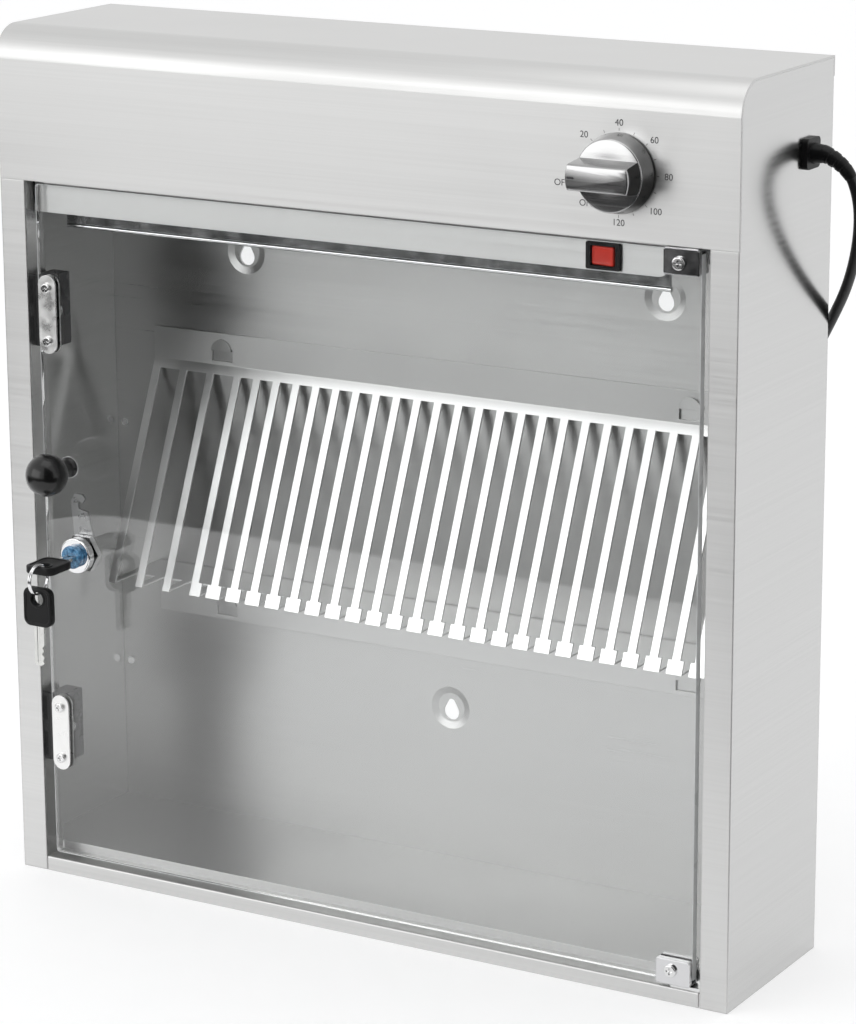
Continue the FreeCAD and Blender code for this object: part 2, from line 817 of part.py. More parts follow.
def knife_rack():
    """One folded sheet: a flange on the wall, a slotted slope, a slotted shelf and a lower flange."""
    foot = WALL + " - rack_reach"
    back = WALL + " - lug_gap"
    front = WALL + " - lug_gap - sheet"
    lean = "atan2(rack_bend - rack_shelf + sheet; rack_reach - lug_gap - sheet)"
    folded = profile(
        "rack_sheet",
        "YZ_Plane",
        [
            (front, "rack_top"),
            (front, "rack_bend"),
            (foot, "rack_shelf - sheet"),
            (front, "rack_shelf - sheet"),
            (front, "rack_tail"),
            (back, "rack_tail"),
            (back, "rack_shelf"),
            (foot + " + sheet / tan(%s) + sheet / sin(%s)" % (lean, lean), "rack_shelf"),
            (back, "rack_bend - sheet * (1 - sin(%s)) / cos(%s)" % (lean, lean)),
            (back, "rack_top"),
        ],
        RACK_WIDTH,
        (RACK_LEFT, "0", "0"),
    )
    slots = []
    before = foot + " - 3"
    for number in range(round(value("steel_slots + knife_slots"))):
        if number < value("steel_slots"):
            low = "%s + bar_width + %d * steel_pitch" % (RACK_LEFT, number)
            high = low + " + steel_pitch - bar_width"
            slit = (low, high)
        else:
            low = "%s + bar_width + steel_slots * steel_pitch" % RACK_LEFT
            low += " + (%d - steel_slots) * knife_pitch" % number
            high = low + " + knife_pitch - bar_width"
            middle = low + " + (knife_pitch - bar_width) / 2"
            slit = (middle + " - knife_slit / 2", middle + " + knife_slit / 2")
        slots.append(
            block("rack_slot%d" % number, (low, high), (before, back + " + 1"),
                  ("rack_shelf + foot_height", "rack_bend - band_height")))
        slots.append(
            block("rack_slit%d" % number, slit, (before, foot + " + slit_length"),
                  ("rack_shelf - 2 * sheet", "rack_shelf + foot_height + 0.5")))
    for side in (-1, 1):
        for level in ("lug_high", "lug_low"):
            x = "%d * lug_spread / 2" % side
            slots.append(
                block("rack_window%d_%s" % (side + 1, level),
                      (x + " - lug_radius - lug_gap", x + " + lug_radius + lug_gap"),
                      (front + " - 1", back + " + 1"),
                      (level + " + sheet + moving_gap - lug_window", level + " + sheet + moving_gap")))
    node("knife_rack", cut("rack_cut", folded, *slots))


# Door

def stadium(name, x, y, z, width, length):
    """An upright plate with full round ends, between two places along Y."""
    middle = block(name + "_middle", ("%s - %s / 2" % (x, width), "%s + %s / 2" % (x, width)), y,
                   ("%s - (%s - %s) / 2" % (z, length, width), "%s + (%s - %s) / 2" % (z, length, width)))
    ends = [
        rod(name + "_end%d" % (side + 1), width + " / 2", "(%s) - (%s)" % (y[1], y[0]),
            (x, y[0], "%s + %d * (%s - %s) / 2" % (z, side, length, width)), "y")
        for side in (-1, 1)
    ]
    return fuse(name, middle, *ends)


PLATE_X = "(-width / 2 + door_side_gap + plate_inset)"
CLAMP_SCREW_X = "(width / 2 - hinge_inset + clamp_overhang - clamp_width * 0.56)"
CLAMP_LEVELS = (
    ("lower", CLAMP_BASE + " + clamp_height * 0.56"),
    ("upper", CLAMP_TOP + " - clamp_height * 0.56"),
)


def plate_holes(name, depth, y):
    holes = []
    for level in ("plate_high", "plate_low"):
        for side in (-1, 1):
            z = "%s + %d * plate_screws / 2" % (level, side)
            holes.append(rod("%s_%s%d" % (name, level, side + 1), "screw_radius", depth, (PLATE_X, y, z),
                             "y"))
    return holes


def door():
    pane = profile(
        "pane",
        "XZ_Plane",
        [(DOOR_LEFT, GLASS_BASE), (DOOR_RIGHT, GLASS_BASE), (DOOR_RIGHT, GLASS_TOP), (DOOR_LEFT, GLASS_TOP)],
        "glass",
        ("0", GLASS_BACK, "0"),
    )
    soften(pane, "glass_corner", along("y"))
    before = GLASS_FRONT + " - 1"
    through = "glass + 2"
    holes = plate_holes("pane_hole", through, before)
    holes.append(rod("pane_lock_hole", "lock_body", through, (LOCK_X, before, "lock_height"), "y"))
    holes.append(rod("pane_knob_hole", "screw_radius", through, (BALL_X, before, "ball_height"), "y"))
    for level, z in CLAMP_LEVELS:
        holes.append(rod("pane_clamp_hole_" + level, "screw_radius", through, (CLAMP_SCREW_X, before, z),
                         "y"))
    node("door_pane", cut("pane_cut", pane, *holes))

    clamp_front = GLASS_FRONT + " - clamp_plate"
    clamp_back = GLASS_BACK + " + clamp_plate"
    pins = []
    screws = []
    for (level, z), low, slot in (
        (CLAMP_LEVELS[0], CLAMP_BASE, (GLASS_BASE, CLAMP_BASE + " + clamp_height + 1")),
        (CLAMP_LEVELS[1], CLAMP_TOP + " - clamp_height", (CLAMP_TOP + " - clamp_height - 1", GLASS_TOP)),
    ):
        name = level + "_clamp"
        solid = block(name + "_block", (DOOR_RIGHT + " - clamp_width", DOOR_RIGHT), (clamp_front, clamp_back),
                      (low, low + " + clamp_height"))
        soft = rounded(name + "_rounded", solid, "clamp_web", along("y"))
        mouth = block(name + "_mouth", (DOOR_RIGHT + " - clamp_width - 1", DOOR_RIGHT + " + 1"),
                      (GLASS_FRONT, GLASS_BACK), slot)
        bore = rod(name + "_bore", "screw_radius", "2 * clamp_plate + glass",
                   (CLAMP_SCREW_X, clamp_front + " - 1", z), "y")
        node(level + "_hinge_clamp", cut(name + "_cut", soft, mouth, bore))
        screws.append(screw(name + "_screw", (CLAMP_SCREW_X, clamp_front, z), "-y",
                            "2 * clamp_plate + glass - 1",
                            "screw_head * 1.25"))
        if level == "lower":
            pins.append(rod("lower_pin", "pin_radius", "pin_length", (HINGE_X, HINGE_Y, CLAMP_BASE), "-z"))
        else:
            pins.append(rod("upper_pin", "pin_radius", "pin_length", (HINGE_X, HINGE_Y, CLAMP_TOP), "z"))
    node("hinge_pins", group("hinge_pin_group", *pins))
    node("hinge_clamp_screws", group("clamp_screw_group", *screws))

    bore = "pin_radius + turning_gap"
    bushes = []
    for level, low, high in (
        ("lower", "rail_height - sheet", "rail_height + hinge_plate"),
        ("upper", HOOD, HOOD + " + sheet + hinge_plate"),
    ):
        length = "(%s) - (%s)" % (high, low)
        sleeve = rod(level + "_bush_sleeve", bore + " + bush_wall", length, (HINGE_X, HINGE_Y, low))
        hole = rod(level + "_bush_bore", bore, length + " + 2", (HINGE_X, HINGE_Y, low + " - 1"))
        bushes.append(cut(level + "_bush", sleeve, hole))
    node("hinge_bushes", group("hinge_bush_group", *bushes))

    inner = RIGHT + " - column_width"
    back = HINGE_Y + " + hinge_plate_back"
    base = block("bracket_base", (HINGE_X + " - hinge_plate_side", inner),
                 (HINGE_Y + " - hinge_plate_front", back),
                 ("rail_height", "rail_height + hinge_plate"))
    upright = block("bracket_upright", (inner + " - hinge_plate", inner), (back + " - hinge_ear", back),
                    ("rail_height", "rail_height + hinge_plate + hinge_ear_height"))
    holes = [
        rod("bracket_bush_hole", bore + " + bush_wall", "hinge_plate + 2",
            (HINGE_X, HINGE_Y, "rail_height - 1")),
        rod("bracket_screw_hole", "screw_radius", "hinge_plate + 2",
            (inner + " - hinge_plate - 1",) + BRACKET_SCREW[1:], "x"),
    ]
    node("lower_hinge_bracket", cut("bracket_cut", fuse("bracket_solid", base, upright), *holes))

    for place_name, low, high in (
        ("outer", GLASS_FRONT + " - plate_sheet", GLASS_FRONT),
        ("inner", GLASS_BACK, GLASS_BACK + " + plate_sheet"),
    ):
        plates = [
            stadium("%s_%s" % (place_name, level), PLATE_X, (low, high), level, "plate_width", "plate_length")
            for level in ("plate_high", "plate_low")
        ]
        holes = plate_holes(place_name + "_plate_hole", "plate_sheet + 2", low + " - 1")
        both = group(place_name + "_plates", *plates)
        node(place_name + "_strike_plates", cut(place_name + "_plate_cut", both, *holes))
    screws = []
    for level in ("plate_high", "plate_low"):
        for side in (-1, 1):
            at = (PLATE_X, GLASS_FRONT + " - plate_sheet", "%s + %d * plate_screws / 2" % (level, side))
            screws.append(screw("strike_screw_%s%d" % (level, side + 1), at, "-y", "glass + 2 * plate_sheet"))
    node("strike_plate_screws", group("strike_screw_group", *screws))

    catches = []
    magnets = []
    catch_x = (LEFT + " + column_width", LEFT + " + column_width + catch_width")
    for level in ("plate_high", "plate_low"):
        name = "catch_" + level
        z = (level + " - catch_height / 2", level + " + catch_height / 2")
        box = block(name + "_box", catch_x, (CATCH_FRONT, CATCH_FRONT + " + catch_depth"), z)
        soft = rounded(name + "_rounded", box, "edge_round", along("x"))
        for end in (-1, 1):
            middle = "%s + %d * magnet_pitch / 2" % (level, end)
            magnets.append(
                block("%s_magnet%d" % (name, end + 1),
                      (catch_x[0] + " + magnet_inset", catch_x[1] + " - magnet_inset"),
                      (CATCH_FRONT, CATCH_FRONT + " + magnet_depth"),
                      (middle + " - magnet_length / 2", middle + " + magnet_length / 2")))
        bore = rod(name + "_bore", "screw_radius", "catch_width + 2",
                   (catch_x[0] + " - 1", CATCH_SCREW_Y, level), "x")
        catches.append(cut(name, soft, bore, *magnets[-2:]))
    node("magnetic_catches", group("catch_group", *catches))
    node("catch_magnets", group("magnet_group", *magnets))


def door_knob():
    centre = GLASS_FRONT + " - ball_reach"
    sphere = ball("knob_ball", "ball_radius", (BALL_X, centre, "ball_height"))
    stem = rod("knob_stem", "ball_stem", "ball_reach - washer_sheet", (BALL_X, centre, "ball_height"), "y")
    bore = rod("knob_bore", "screw_radius", "ball_reach / 2",
               (BALL_X, centre + " + ball_reach / 2", "ball_height"), "y")
    node("door_knob", cut("knob_cut", fuse("knob_solid", sphere, stem), bore))
    disc = rod("washer_disc", "ball_stem + washer_rim", "washer_sheet",
               (BALL_X, GLASS_FRONT + " - washer_sheet", "ball_height"), "y")
    hole = rod("washer_hole", "screw_radius", "washer_sheet + 2",
               (BALL_X, GLASS_FRONT + " - washer_sheet - 1", "ball_height"), "y")
    node("door_knob_washer", cut("washer_cut", disc, hole))
    node("door_knob_screw",
         screw("knob_screw", (BALL_X, GLASS_BACK, "ball_height"), "y", "glass + ball_reach / 2"))


# Lock and keys

FLANGE_FRONT = "(-depth / 2 + door_recess - lock_flange_depth)"
FACE_FRONT = "(-depth / 2 + door_recess - lock_flange_depth - moving_gap - lock_face_depth)"
KEY_SHOULDER = FACE_FRONT[:-1] + " - key_stand)"
KEY_TIP = FACE_FRONT[:-1] + " - key_stand - key_head)"
RING_Y = KEY_TIP[:-1] + " + key_web / 2)"
RING_Z = (
    "(lock_height + key_head_sheet / 2"
    " - sqrt((ring_radius - ring_wire - moving_gap)^2 - (key_web / 2)^2))"
)
SPARE_TOP = RING_Z[:-1] + " - (ring_radius - ring_wire) + ring_slack + key_web)"
# How far each cut of a key lies from its tip, and its depth
KEY_CUTS = ((5, 1.2), (9, 2.0), (13, 1.4))


def key(name, stand, turn):
    """A key lying along Y, its tip to the back: a blade cut along one edge and a moulded head with a hole."""
    half = "key_blade_width / 2"
    blade = block(name + "_blank", ("-" + half, half), ("0", "key_blade"),
                  ("-key_blade_sheet / 2", "key_blade_sheet / 2"))
    cuts = [
        block("%s_cut%d" % (name, number), (half + " - %s" % deep, half + " + 1"),
              ("key_blade - %s" % far, "key_blade - %s + key_cut_width" % far),
              ("-key_blade_sheet", "key_blade_sheet"))
        for number, (far, deep) in enumerate(KEY_CUTS)
    ]
    head = block(name + "_grip", ("-key_head_width / 2", "key_head_width / 2"), ("-key_head", "0"),
                 ("-key_head_sheet / 2", "key_head_sheet / 2"))
    soft = rounded(name + "_grip_rounded", head, "key_corner", along("z"))
    hole = rod(name + "_hole", "key_hole", "key_head_sheet + 2",
               ("0", "-key_head + key_web + key_hole", "-key_head_sheet / 2 - 1"))
    pieces = [cut(name + "_blade", blade, *cuts), cut(name + "_head", soft, hole)]
    for piece in pieces:
        piece.Placement.Rotation = turn
        place(piece, *stand)
    return pieces


def lock():
    at = (LOCK_X, FLANGE_FRONT, "lock_height")
    flange = rod("barrel_flange", "lock_flange", "lock_flange_depth", at, "y")
    soft = rounded("barrel_flange_rounded", flange, "edge_round", in_front(FLANGE_FRONT))
    body = rod("barrel_body", "lock_body", "(%s) - (%s)" % (LOCK_END, FLANGE_FRONT), at, "y")
    bore = rod("barrel_bore", "lock_plug + turning_gap", "(%s) - (%s) + 2" % (LOCK_END, FLANGE_FRONT),
               (LOCK_X, FLANGE_FRONT + " - 1", "lock_height"), "y")
    node("lock_barrel", cut("barrel_cut", fuse("barrel_solid", soft, body), bore))

    hexagon = doc.addObject("Part::Prism", "nut_hexagon")
    hexagon.Polygon = 6
    hexagon.Placement.Rotation = TURNS["y"]
    drive(hexagon, "Circumradius", "lock_nut_flats / 2 / cos(30)")
    drive(hexagon, "Height", "lock_nut_depth")
    place(hexagon, LOCK_X, GLASS_BACK, "lock_height")
    hole = rod("nut_hole", "lock_body", "lock_nut_depth + 2", (LOCK_X, GLASS_BACK + " - 1", "lock_height"),
               "y")
    node("lock_nut", cut("nut_cut", hexagon, hole))

    keyway = block("keyway",
                   (LOCK_X + " - key_blade_width / 2 - key_play",
                    LOCK_X + " + key_blade_width / 2 + key_play"),
                   (FACE_FRONT + " - 1", KEY_SHOULDER + " + key_blade + key_play"),
                   ("lock_height - key_blade_sheet / 2 - key_play",
                    "lock_height + key_blade_sheet / 2 + key_play"))
    core_start = FLANGE_FRONT + " - moving_gap"
    core = rod("plug_core", "lock_plug", "(%s) - (%s)" % (LOCK_END, core_start),
               (LOCK_X, core_start, "lock_height"), "y")
    tail = block("plug_tail", (LOCK_X + " - lock_tail / 2", LOCK_X + " + lock_tail / 2"),
                 (LOCK_END, LOCK_END + " + moving_gap + cam_sheet"),
                 ("lock_height - lock_tail / 2", "lock_height + lock_tail / 2"))
    thread = rod("plug_thread", "screw_radius", "cam_sheet + moving_gap + cam_screw_reach",
                 (LOCK_X, LOCK_END + " + moving_gap + cam_sheet", "lock_height"), "-y")
    node("lock_plug", cut("plug_cut", fuse("plug_solid", core, tail), keyway, thread))
    face = rod("face_disc", "lock_face", "lock_face_depth", (LOCK_X, FACE_FRONT, "lock_height"), "y")
    soft_face = rounded("face_rounded", face, "edge_round", in_front(FACE_FRONT))
    node("lock_face", cut("face_cut", soft_face, keyway))

    cam_y = LOCK_END + " + moving_gap"
    arm = profile(
        "cam_arm",
        "XZ_Plane",
        [
            (LOCK_X + " - cam_hub", "lock_height"),
            (LOCK_X + " - cam_reach * 0.30", "lock_height + cam_reach * 0.86"),
            (LOCK_X + " - cam_reach * 0.22", "lock_height + cam_reach"),
            (LOCK_X + " - cam_reach * 0.05", "lock_height + cam_reach"),
            (LOCK_X, "lock_height + cam_reach * 0.92"),
            (LOCK_X + " - cam_reach * 0.06", "lock_height + cam_reach * 0.84"),
            (LOCK_X + " - cam_reach * 0.14", "lock_height + cam_reach * 0.89"),
            (LOCK_X + " - cam_reach * 0.14", "lock_height + cam_reach * 0.74"),
            (LOCK_X + " + cam_reach * 0.05", "lock_height + cam_reach * 0.70"),
            (LOCK_X + " + cam_hub", "lock_height"),
        ],
        "cam_sheet",
        ("0", cam_y + " + cam_sheet", "0"),
    )
    soften(arm, "cam_round", along("y"))
    disc = rod("cam_disc", "cam_hub", "cam_sheet", (LOCK_X, cam_y, "lock_height"), "y")
    square = block("cam_square", (LOCK_X + " - lock_tail / 2", LOCK_X + " + lock_tail / 2"),
                   (cam_y + " - 1", cam_y + " + cam_sheet + 1"),
                   ("lock_height - lock_tail / 2", "lock_height + lock_tail / 2"))
    node("hook_cam", cut("cam_cut", fuse("cam_solid", arm, disc), square))
    node("cam_screw", screw("cam_bolt", (LOCK_X, cam_y + " + cam_sheet", "lock_height"), "y",
                            "cam_sheet + moving_gap + cam_screw_reach", "lock_tail * 0.75"))

    blade, head = key("key", (LOCK_X, KEY_SHOULDER, "lock_height"), FreeCAD.Rotation())
    node("key_blade", blade)
    node("key_head", head)
    outer = rod("ring_outer", "ring_radius + ring_wire", "4 * ring_wire",
                (LOCK_X + " - 2 * ring_wire", RING_Y, RING_Z), "x")
    inner = rod("ring_inner", "ring_radius - ring_wire", "6 * ring_wire",
                (LOCK_X + " - 3 * ring_wire", RING_Y, RING_Z), "x")
    node("key_ring", cut("ring_cut", outer, inner))
    hanging = FreeCAD.Rotation(V(1, 0, 0), -90)
    blade, head = key("spare", (LOCK_X, RING_Y, SPARE_TOP + " - key_head"), hanging)
    node("spare_key_blade", blade)
    node("spare_key_head", head)


# Lamp and its reflector

def reflector_profile():
    """The corners of the folded reflector: along its outer face, front half first, and back along its inner."""
    half = "(lamp_depth - reflector_front)"
    arm = [
        (half, LAMP_Z + " - reflector_edge_drop"),
        (half, LAMP_Z + " - reflector_knee_drop"),
        (half + " - reflector_flare", LAMP_Z + " + reflector_bend_rise"),
        ("reflector_crown / 2", REFLECTOR_TOP),
    ]
    outer = [("%s - (%s)" % (LAMP_Y, y), z) for y, z in arm]
    outer += [("%s + (%s)" % (LAMP_Y, y), z) for y, z in reversed(arm)]
    inner = [("%s + (%s) - reflector_sheet" % (LAMP_Y, y), z) for y, z in arm[:3]]
    inner.append(("%s + reflector_crown / 2 - reflector_sheet" % LAMP_Y,
                  REFLECTOR_TOP + " - reflector_sheet"))
    inner.append(("%s - reflector_crown / 2 + reflector_sheet" % LAMP_Y,
                  REFLECTOR_TOP + " - reflector_sheet"))
    inner += [("%s - (%s) + reflector_sheet" % (LAMP_Y, y), z) for y, z in reversed(arm[:3])]
    return outer + inner


def lamp():
    """Shroud, reflector and lamp; gives back the screws that fix them."""
    plate = profile(
        "shroud_plate",
        "XZ_Plane",
        [
            (LEFT + " + column_width + rail_gap", HOOD + " - shroud_drop"),
            (RIGHT + " - shroud_end_gap", HOOD + " - shroud_drop"),
            (RIGHT + " - shroud_end_gap", HOOD + " + shroud_rise"),
            (LEFT + " + column_width + rail_gap", HOOD + " + shroud_rise"),
        ],
        "sheet",
        ("0", SHROUD + " + sheet", "0"),
    )
    soften(plate, "shroud_corner", near(RIGHT + " - shroud_end_gap", HOOD + " - shroud_drop", "xz"))
    opening = block("switch_opening",
                    (SWITCH_X + " - switch_cutout_width / 2", SWITCH_X + " + switch_cutout_width / 2"),
                    (SHROUD + " - 1", SHROUD + " + sheet + 1"),
                    (SWITCH_Z + " - switch_cutout_height / 2", SWITCH_Z + " + switch_cutout_height / 2"))
    node("lamp_shroud", cut("shroud_cut", plate, opening))

    length = "width - reflector_left_gap - reflector_right_gap"
    start = LEFT + " + reflector_left_gap"
    folded = profile("reflector_fold", "YZ_Plane", reflector_profile(), length, (start, "0", "0"))
    hem = rod("reflector_hem", "hem_radius", length,
              (start, FRONT + " + reflector_front + hem_radius / 2", LAMP_Z + " - reflector_edge_drop"), "x")
    node("reflector", fuse("reflector_solid", folded, hem))
    straps = []
    screws = []
    for side in (-1, 1):
        name = "strap%d" % (side + 1)
        x = "%d * strap_spread / 2" % side
        across = (x + " - strap_width / 2", x + " + strap_width / 2")
        flat = block(name + "_flat", across, (LAMP_Y + " - reflector_crown / 2", WALL),
                     (REFLECTOR_TOP, REFLECTOR_TOP + " + reflector_sheet"))
        upright = block(name + "_upright", across, (WALL + " - reflector_sheet", WALL),
                        (REFLECTOR_TOP, REFLECTOR_TOP + " + reflector_sheet + strap_height"))
        bore = rod(name + "_bore", "screw_radius", "reflector_sheet + 2",
                   (x, WALL + " - reflector_sheet - 1", STRAP_SCREW_Z), "y")
        straps.append(cut(name, fuse(name + "_solid", flat, upright), bore))
        screws.append(screw(name + "_screw", (x, WALL + " - reflector_sheet", STRAP_SCREW_Z), "-y",
                            "reflector_sheet + sheet"))
    node("reflector_straps", group("strap_group", *straps))

    glass_start = LAMP_LEFT + " + lamp_cap"
    node("uv_tube",
         rod("tube_glass", "lamp_radius - 0.4", "(%s) - (%s) - 2 * lamp_cap" % (LAMP_RIGHT, LAMP_LEFT),
                        (glass_start, LAMP_Y, LAMP_Z), "x"))
    ends = []
    holders = []
    brackets = []
    for side, end in ((-1, LAMP_LEFT), (1, LAMP_RIGHT)):
        name = "lamp_end%d" % (side + 1)
        way = "x" if side < 0 else "-x"
        out = "-x" if side < 0 else "x"
        cap = rod(name + "_cap", "lamp_radius", "lamp_cap", (end, LAMP_Y, LAMP_Z), way)
        pins = [
            rod("%s_pin%d" % (name, up + 1), "lamp_pin", "lamp_pin_length",
                (end, LAMP_Y, LAMP_Z + " + %d * lamp_pin_pitch / 2" % up), out)
            for up in (-1, 1)
        ]
        ends.append(fuse(name, cap, *pins))
        near_face = "(%s + %d * moving_gap)" % (end, side)
        far_face = "(%s + %d * (moving_gap + holder_width))" % (end, side)
        across = (far_face, near_face) if side < 0 else (near_face, far_face)
        body = block(name + "_holder", across,
                     (LAMP_Y + " - holder_depth / 2", LAMP_Y + " + holder_depth / 2"),
                     (LAMP_Z + " - holder_depth / 2", LAMP_Z + " + holder_depth / 2 + holder_rise"))
        soft = rounded(name + "_holder_rounded", body, "holder_corner", along("x"))
        sockets = [
            rod("%s_socket%d" % (name, up + 1), "lamp_pin + moving_gap", "lamp_pin_length + 1",
                (near_face + " - %d" % side, LAMP_Y, LAMP_Z + " + %d * lamp_pin_pitch / 2" % up), out)
            for up in (-1, 1)
        ]
        holders.append(cut(name + "_lampholder", soft, *sockets))
        plate_out = "(%s + %d * sheet)" % (far_face, side)
        web_x = (plate_out, far_face) if side < 0 else (far_face, plate_out)
        foot_end = "(%s - %d * bracket_foot)" % (end, side)
        foot_x = (plate_out, foot_end) if side < 0 else (foot_end, plate_out)
        low = LAMP_Z + " - bracket_width / 2"
        heights = (low, low + " + bracket_height")
        web = block(name + "_web", web_x, (LAMP_Y + " - bracket_width / 2", WALL), heights)
        foot = block(name + "_foot", foot_x, (WALL + " - sheet", WALL), heights)
        screw_x = HOLDER_SCREW_LEFT if side < 0 else HOLDER_SCREW_RIGHT
        bore = rod(name + "_bore", "screw_radius", "3 * sheet",
                   (screw_x, WALL + " - 2 * sheet", HOLDER_SCREW_Z), "y")
        brackets.append(cut(name + "_bracket", fuse(name + "_bracket_solid", web, foot), bore))
        screws.append(screw(name + "_screw", (screw_x, WALL + " - sheet", HOLDER_SCREW_Z), "-y", "2 * sheet"))
    node("lamp_end_caps", group("lamp_end_group", *ends))
    node("lampholders", group("lampholder_group", *holders))
    node("lampholder_brackets", group("bracket_group", *brackets))
    return screws


# Electrical parts

def electrics(screws):
    middle = SHELF + " + ballast_height / 2"
    across = ("ballast_x - ballast_length / 2", "ballast_x + ballast_length / 2")
    seat = WALL + " - ballast_sheet"
    heights = (SHELF, SHELF + " + ballast_height")
    base = block("ballast_base", across, (seat, WALL), heights)
    core = block("ballast_core", (across[0] + " + ballast_foot", across[1] + " - ballast_foot"),
                 (WALL + " - ballast_depth", seat), heights)
    soft = rounded("ballast_rounded", core, "ballast_corner", along("x"))
    holes = [
        rod("ballast_hole%d" % number, "screw_radius", "ballast_sheet + 2", (x, seat + " - 1", middle), "y")
        for number, x in enumerate((BALLAST_SCREW_LEFT, BALLAST_SCREW_RIGHT))
    ]
    node("ballast", cut("ballast_cut", fuse("ballast_solid", base, soft), *holes))
    for number, x in enumerate((BALLAST_SCREW_LEFT, BALLAST_SCREW_RIGHT)):
        screws.append(screw("ballast_screw%d" % number, (x, seat, middle), "-y", "ballast_sheet + sheet"))

    starter_z = SHELF + " + starter_radius + starter_rise"
    node("starter_base", rod("starter_socket", "starter_radius + starter_rim", "starter_base",
                             (STARTER_X, WALL + " - starter_base", starter_z), "y"))
    start = WALL + " - starter_base - starter_length"
    can = rod("starter_can", "starter_radius", "starter_length", (STARTER_X, start, starter_z), "y")
    node("starter", rounded("starter_rounded", can, "starter_round", in_front(start)))

    block_x = (TERMINAL_X + " - terminal_width / 2", TERMINAL_X + " + terminal_width / 2")
    block_z = (SHELF, SHELF + " + terminal_height")
    front = WALL + " - terminal_depth"
    seat = front + " + terminal_seat"
    middle = SHELF + " + terminal_height / 2"
    body = block("terminal_body", block_x, (front, WALL), block_z)
    grooves = []
    for side in (-1, 1):
        line = TERMINAL_X + " + %d * terminal_width / 6" % side
        grooves.append(
            block("terminal_groove%d" % side,
                  (line + " - terminal_groove / 2", line + " + terminal_groove / 2"),
                  (front + " - 1", seat), (block_z[0] + " - 1", block_z[1] + " + 1")))
    well = rod("terminal_well", "screw_head + moving_gap", "terminal_seat + 1",
               (TERMINAL_X, front + " - 1", middle), "y")
    bore = rod("terminal_bore", "screw_radius", "terminal_depth", (TERMINAL_X, seat + " - 1", middle), "y")
    node("terminal_block", cut("terminal_cut", body, well, bore, *grooves))
    screws.append(screw("terminal_screw", (TERMINAL_X, seat, middle), "-y",
                        "terminal_depth - terminal_seat + sheet"))
    node("electrics_screws", group("electrics_screw_group", *screws))


# Timer and switch

def timer():
    behind = FRONT + " + sheet"
    body = block("timer_case", (TIMER_X + " - timer_body / 2", TIMER_X + " + timer_body / 2"),
                 (behind, behind + " + timer_depth"),
                 (TIMER_Z + " - timer_body / 2", TIMER_Z + " + timer_body / 2"))
    soft = rounded("timer_rounded", body, "timer_corner", along("y"))
    holes = [
        rod("timer_bore", "timer_shaft + turning_gap", "timer_depth - timer_shaft_seat / 2 + 1",
            (TIMER_X, behind + " - 1", TIMER_Z), "y")
    ]
    screws = []
    for side in (-1, 1):
        x = TIMER_X + " + %d * timer_screws / 2" % side
        holes.append(
            rod("timer_screw_hole%d" % (side + 1), "screw_radius", "timer_screw_reach + 1",
                (x, behind + " - 1", TIMER_Z), "y"))
        screws.append(
            flush_screw("timer_screw%d" % (side + 1), (x, FRONT, TIMER_Z), "y", "sheet + timer_screw_reach"))
    node("timer_body", cut("timer_cut", soft, *holes))
    node("timer_screws", group("timer_screw_group", *screws))

    skirt_back = FRONT + " - knob_gap"
    skirt_front = skirt_back + " - knob_skirt_depth"
    drum_front = skirt_back + " - knob_drum_depth"
    bar_front = drum_front + " - knob_bar_depth"
    centre = (TIMER_X, skirt_back, TIMER_Z)
    skirt = rod("knob_skirt_disc", "knob_skirt", "knob_skirt_depth", centre, "-y")
    soft_skirt = rounded("knob_skirt_rounded", skirt, "edge_round", in_front(skirt_front))
    drum = rod("knob_drum_disc", "knob_drum", "knob_drum_depth", centre, "-y")
    soft_drum = rounded("knob_drum_rounded", drum, "edge_round * 1.5", in_front(drum_front))
    bar = block("knob_grip", (TIMER_X + " - knob_bar_length / 2", TIMER_X + " + knob_bar_length / 2"),
                (bar_front, drum_front + " + 1"),
                (TIMER_Z + " - knob_bar / 2", TIMER_Z + " + knob_bar / 2"))
    trim = rod("knob_grip_ends", "knob_drum - 0.4", "knob_bar_depth + 1",
               (TIMER_X, drum_front + " + 1", TIMER_Z), "-y")
    grip = common("knob_grip_round", bar, trim)
    socket = rod("knob_socket", "timer_shaft", "timer_shaft_reach - knob_gap + 1",
                 (TIMER_X, skirt_back + " + 1", TIMER_Z), "-y")
    bar_end = TIMER_X + " - knob_bar_length / 2"
    mark = block("knob_mark_cut", (bar_end + " - 1", bar_end + " + knob_mark"),
                 (bar_front + " - 1", bar_front + " + knob_mark_depth"),
                 (TIMER_Z + " - knob_mark_width / 2", TIMER_Z + " + knob_mark_width / 2"))
    node("timer_knob", cut("knob_shape", fuse("knob_body", soft_skirt, soft_drum, grip), socket, mark))
    node("timer_shaft",
         rod("timer_spindle", "timer_shaft", "timer_shaft_reach + timer_depth - timer_shaft_seat",
                            (TIMER_X, FRONT + " - timer_shaft_reach", TIMER_Z), "y"))


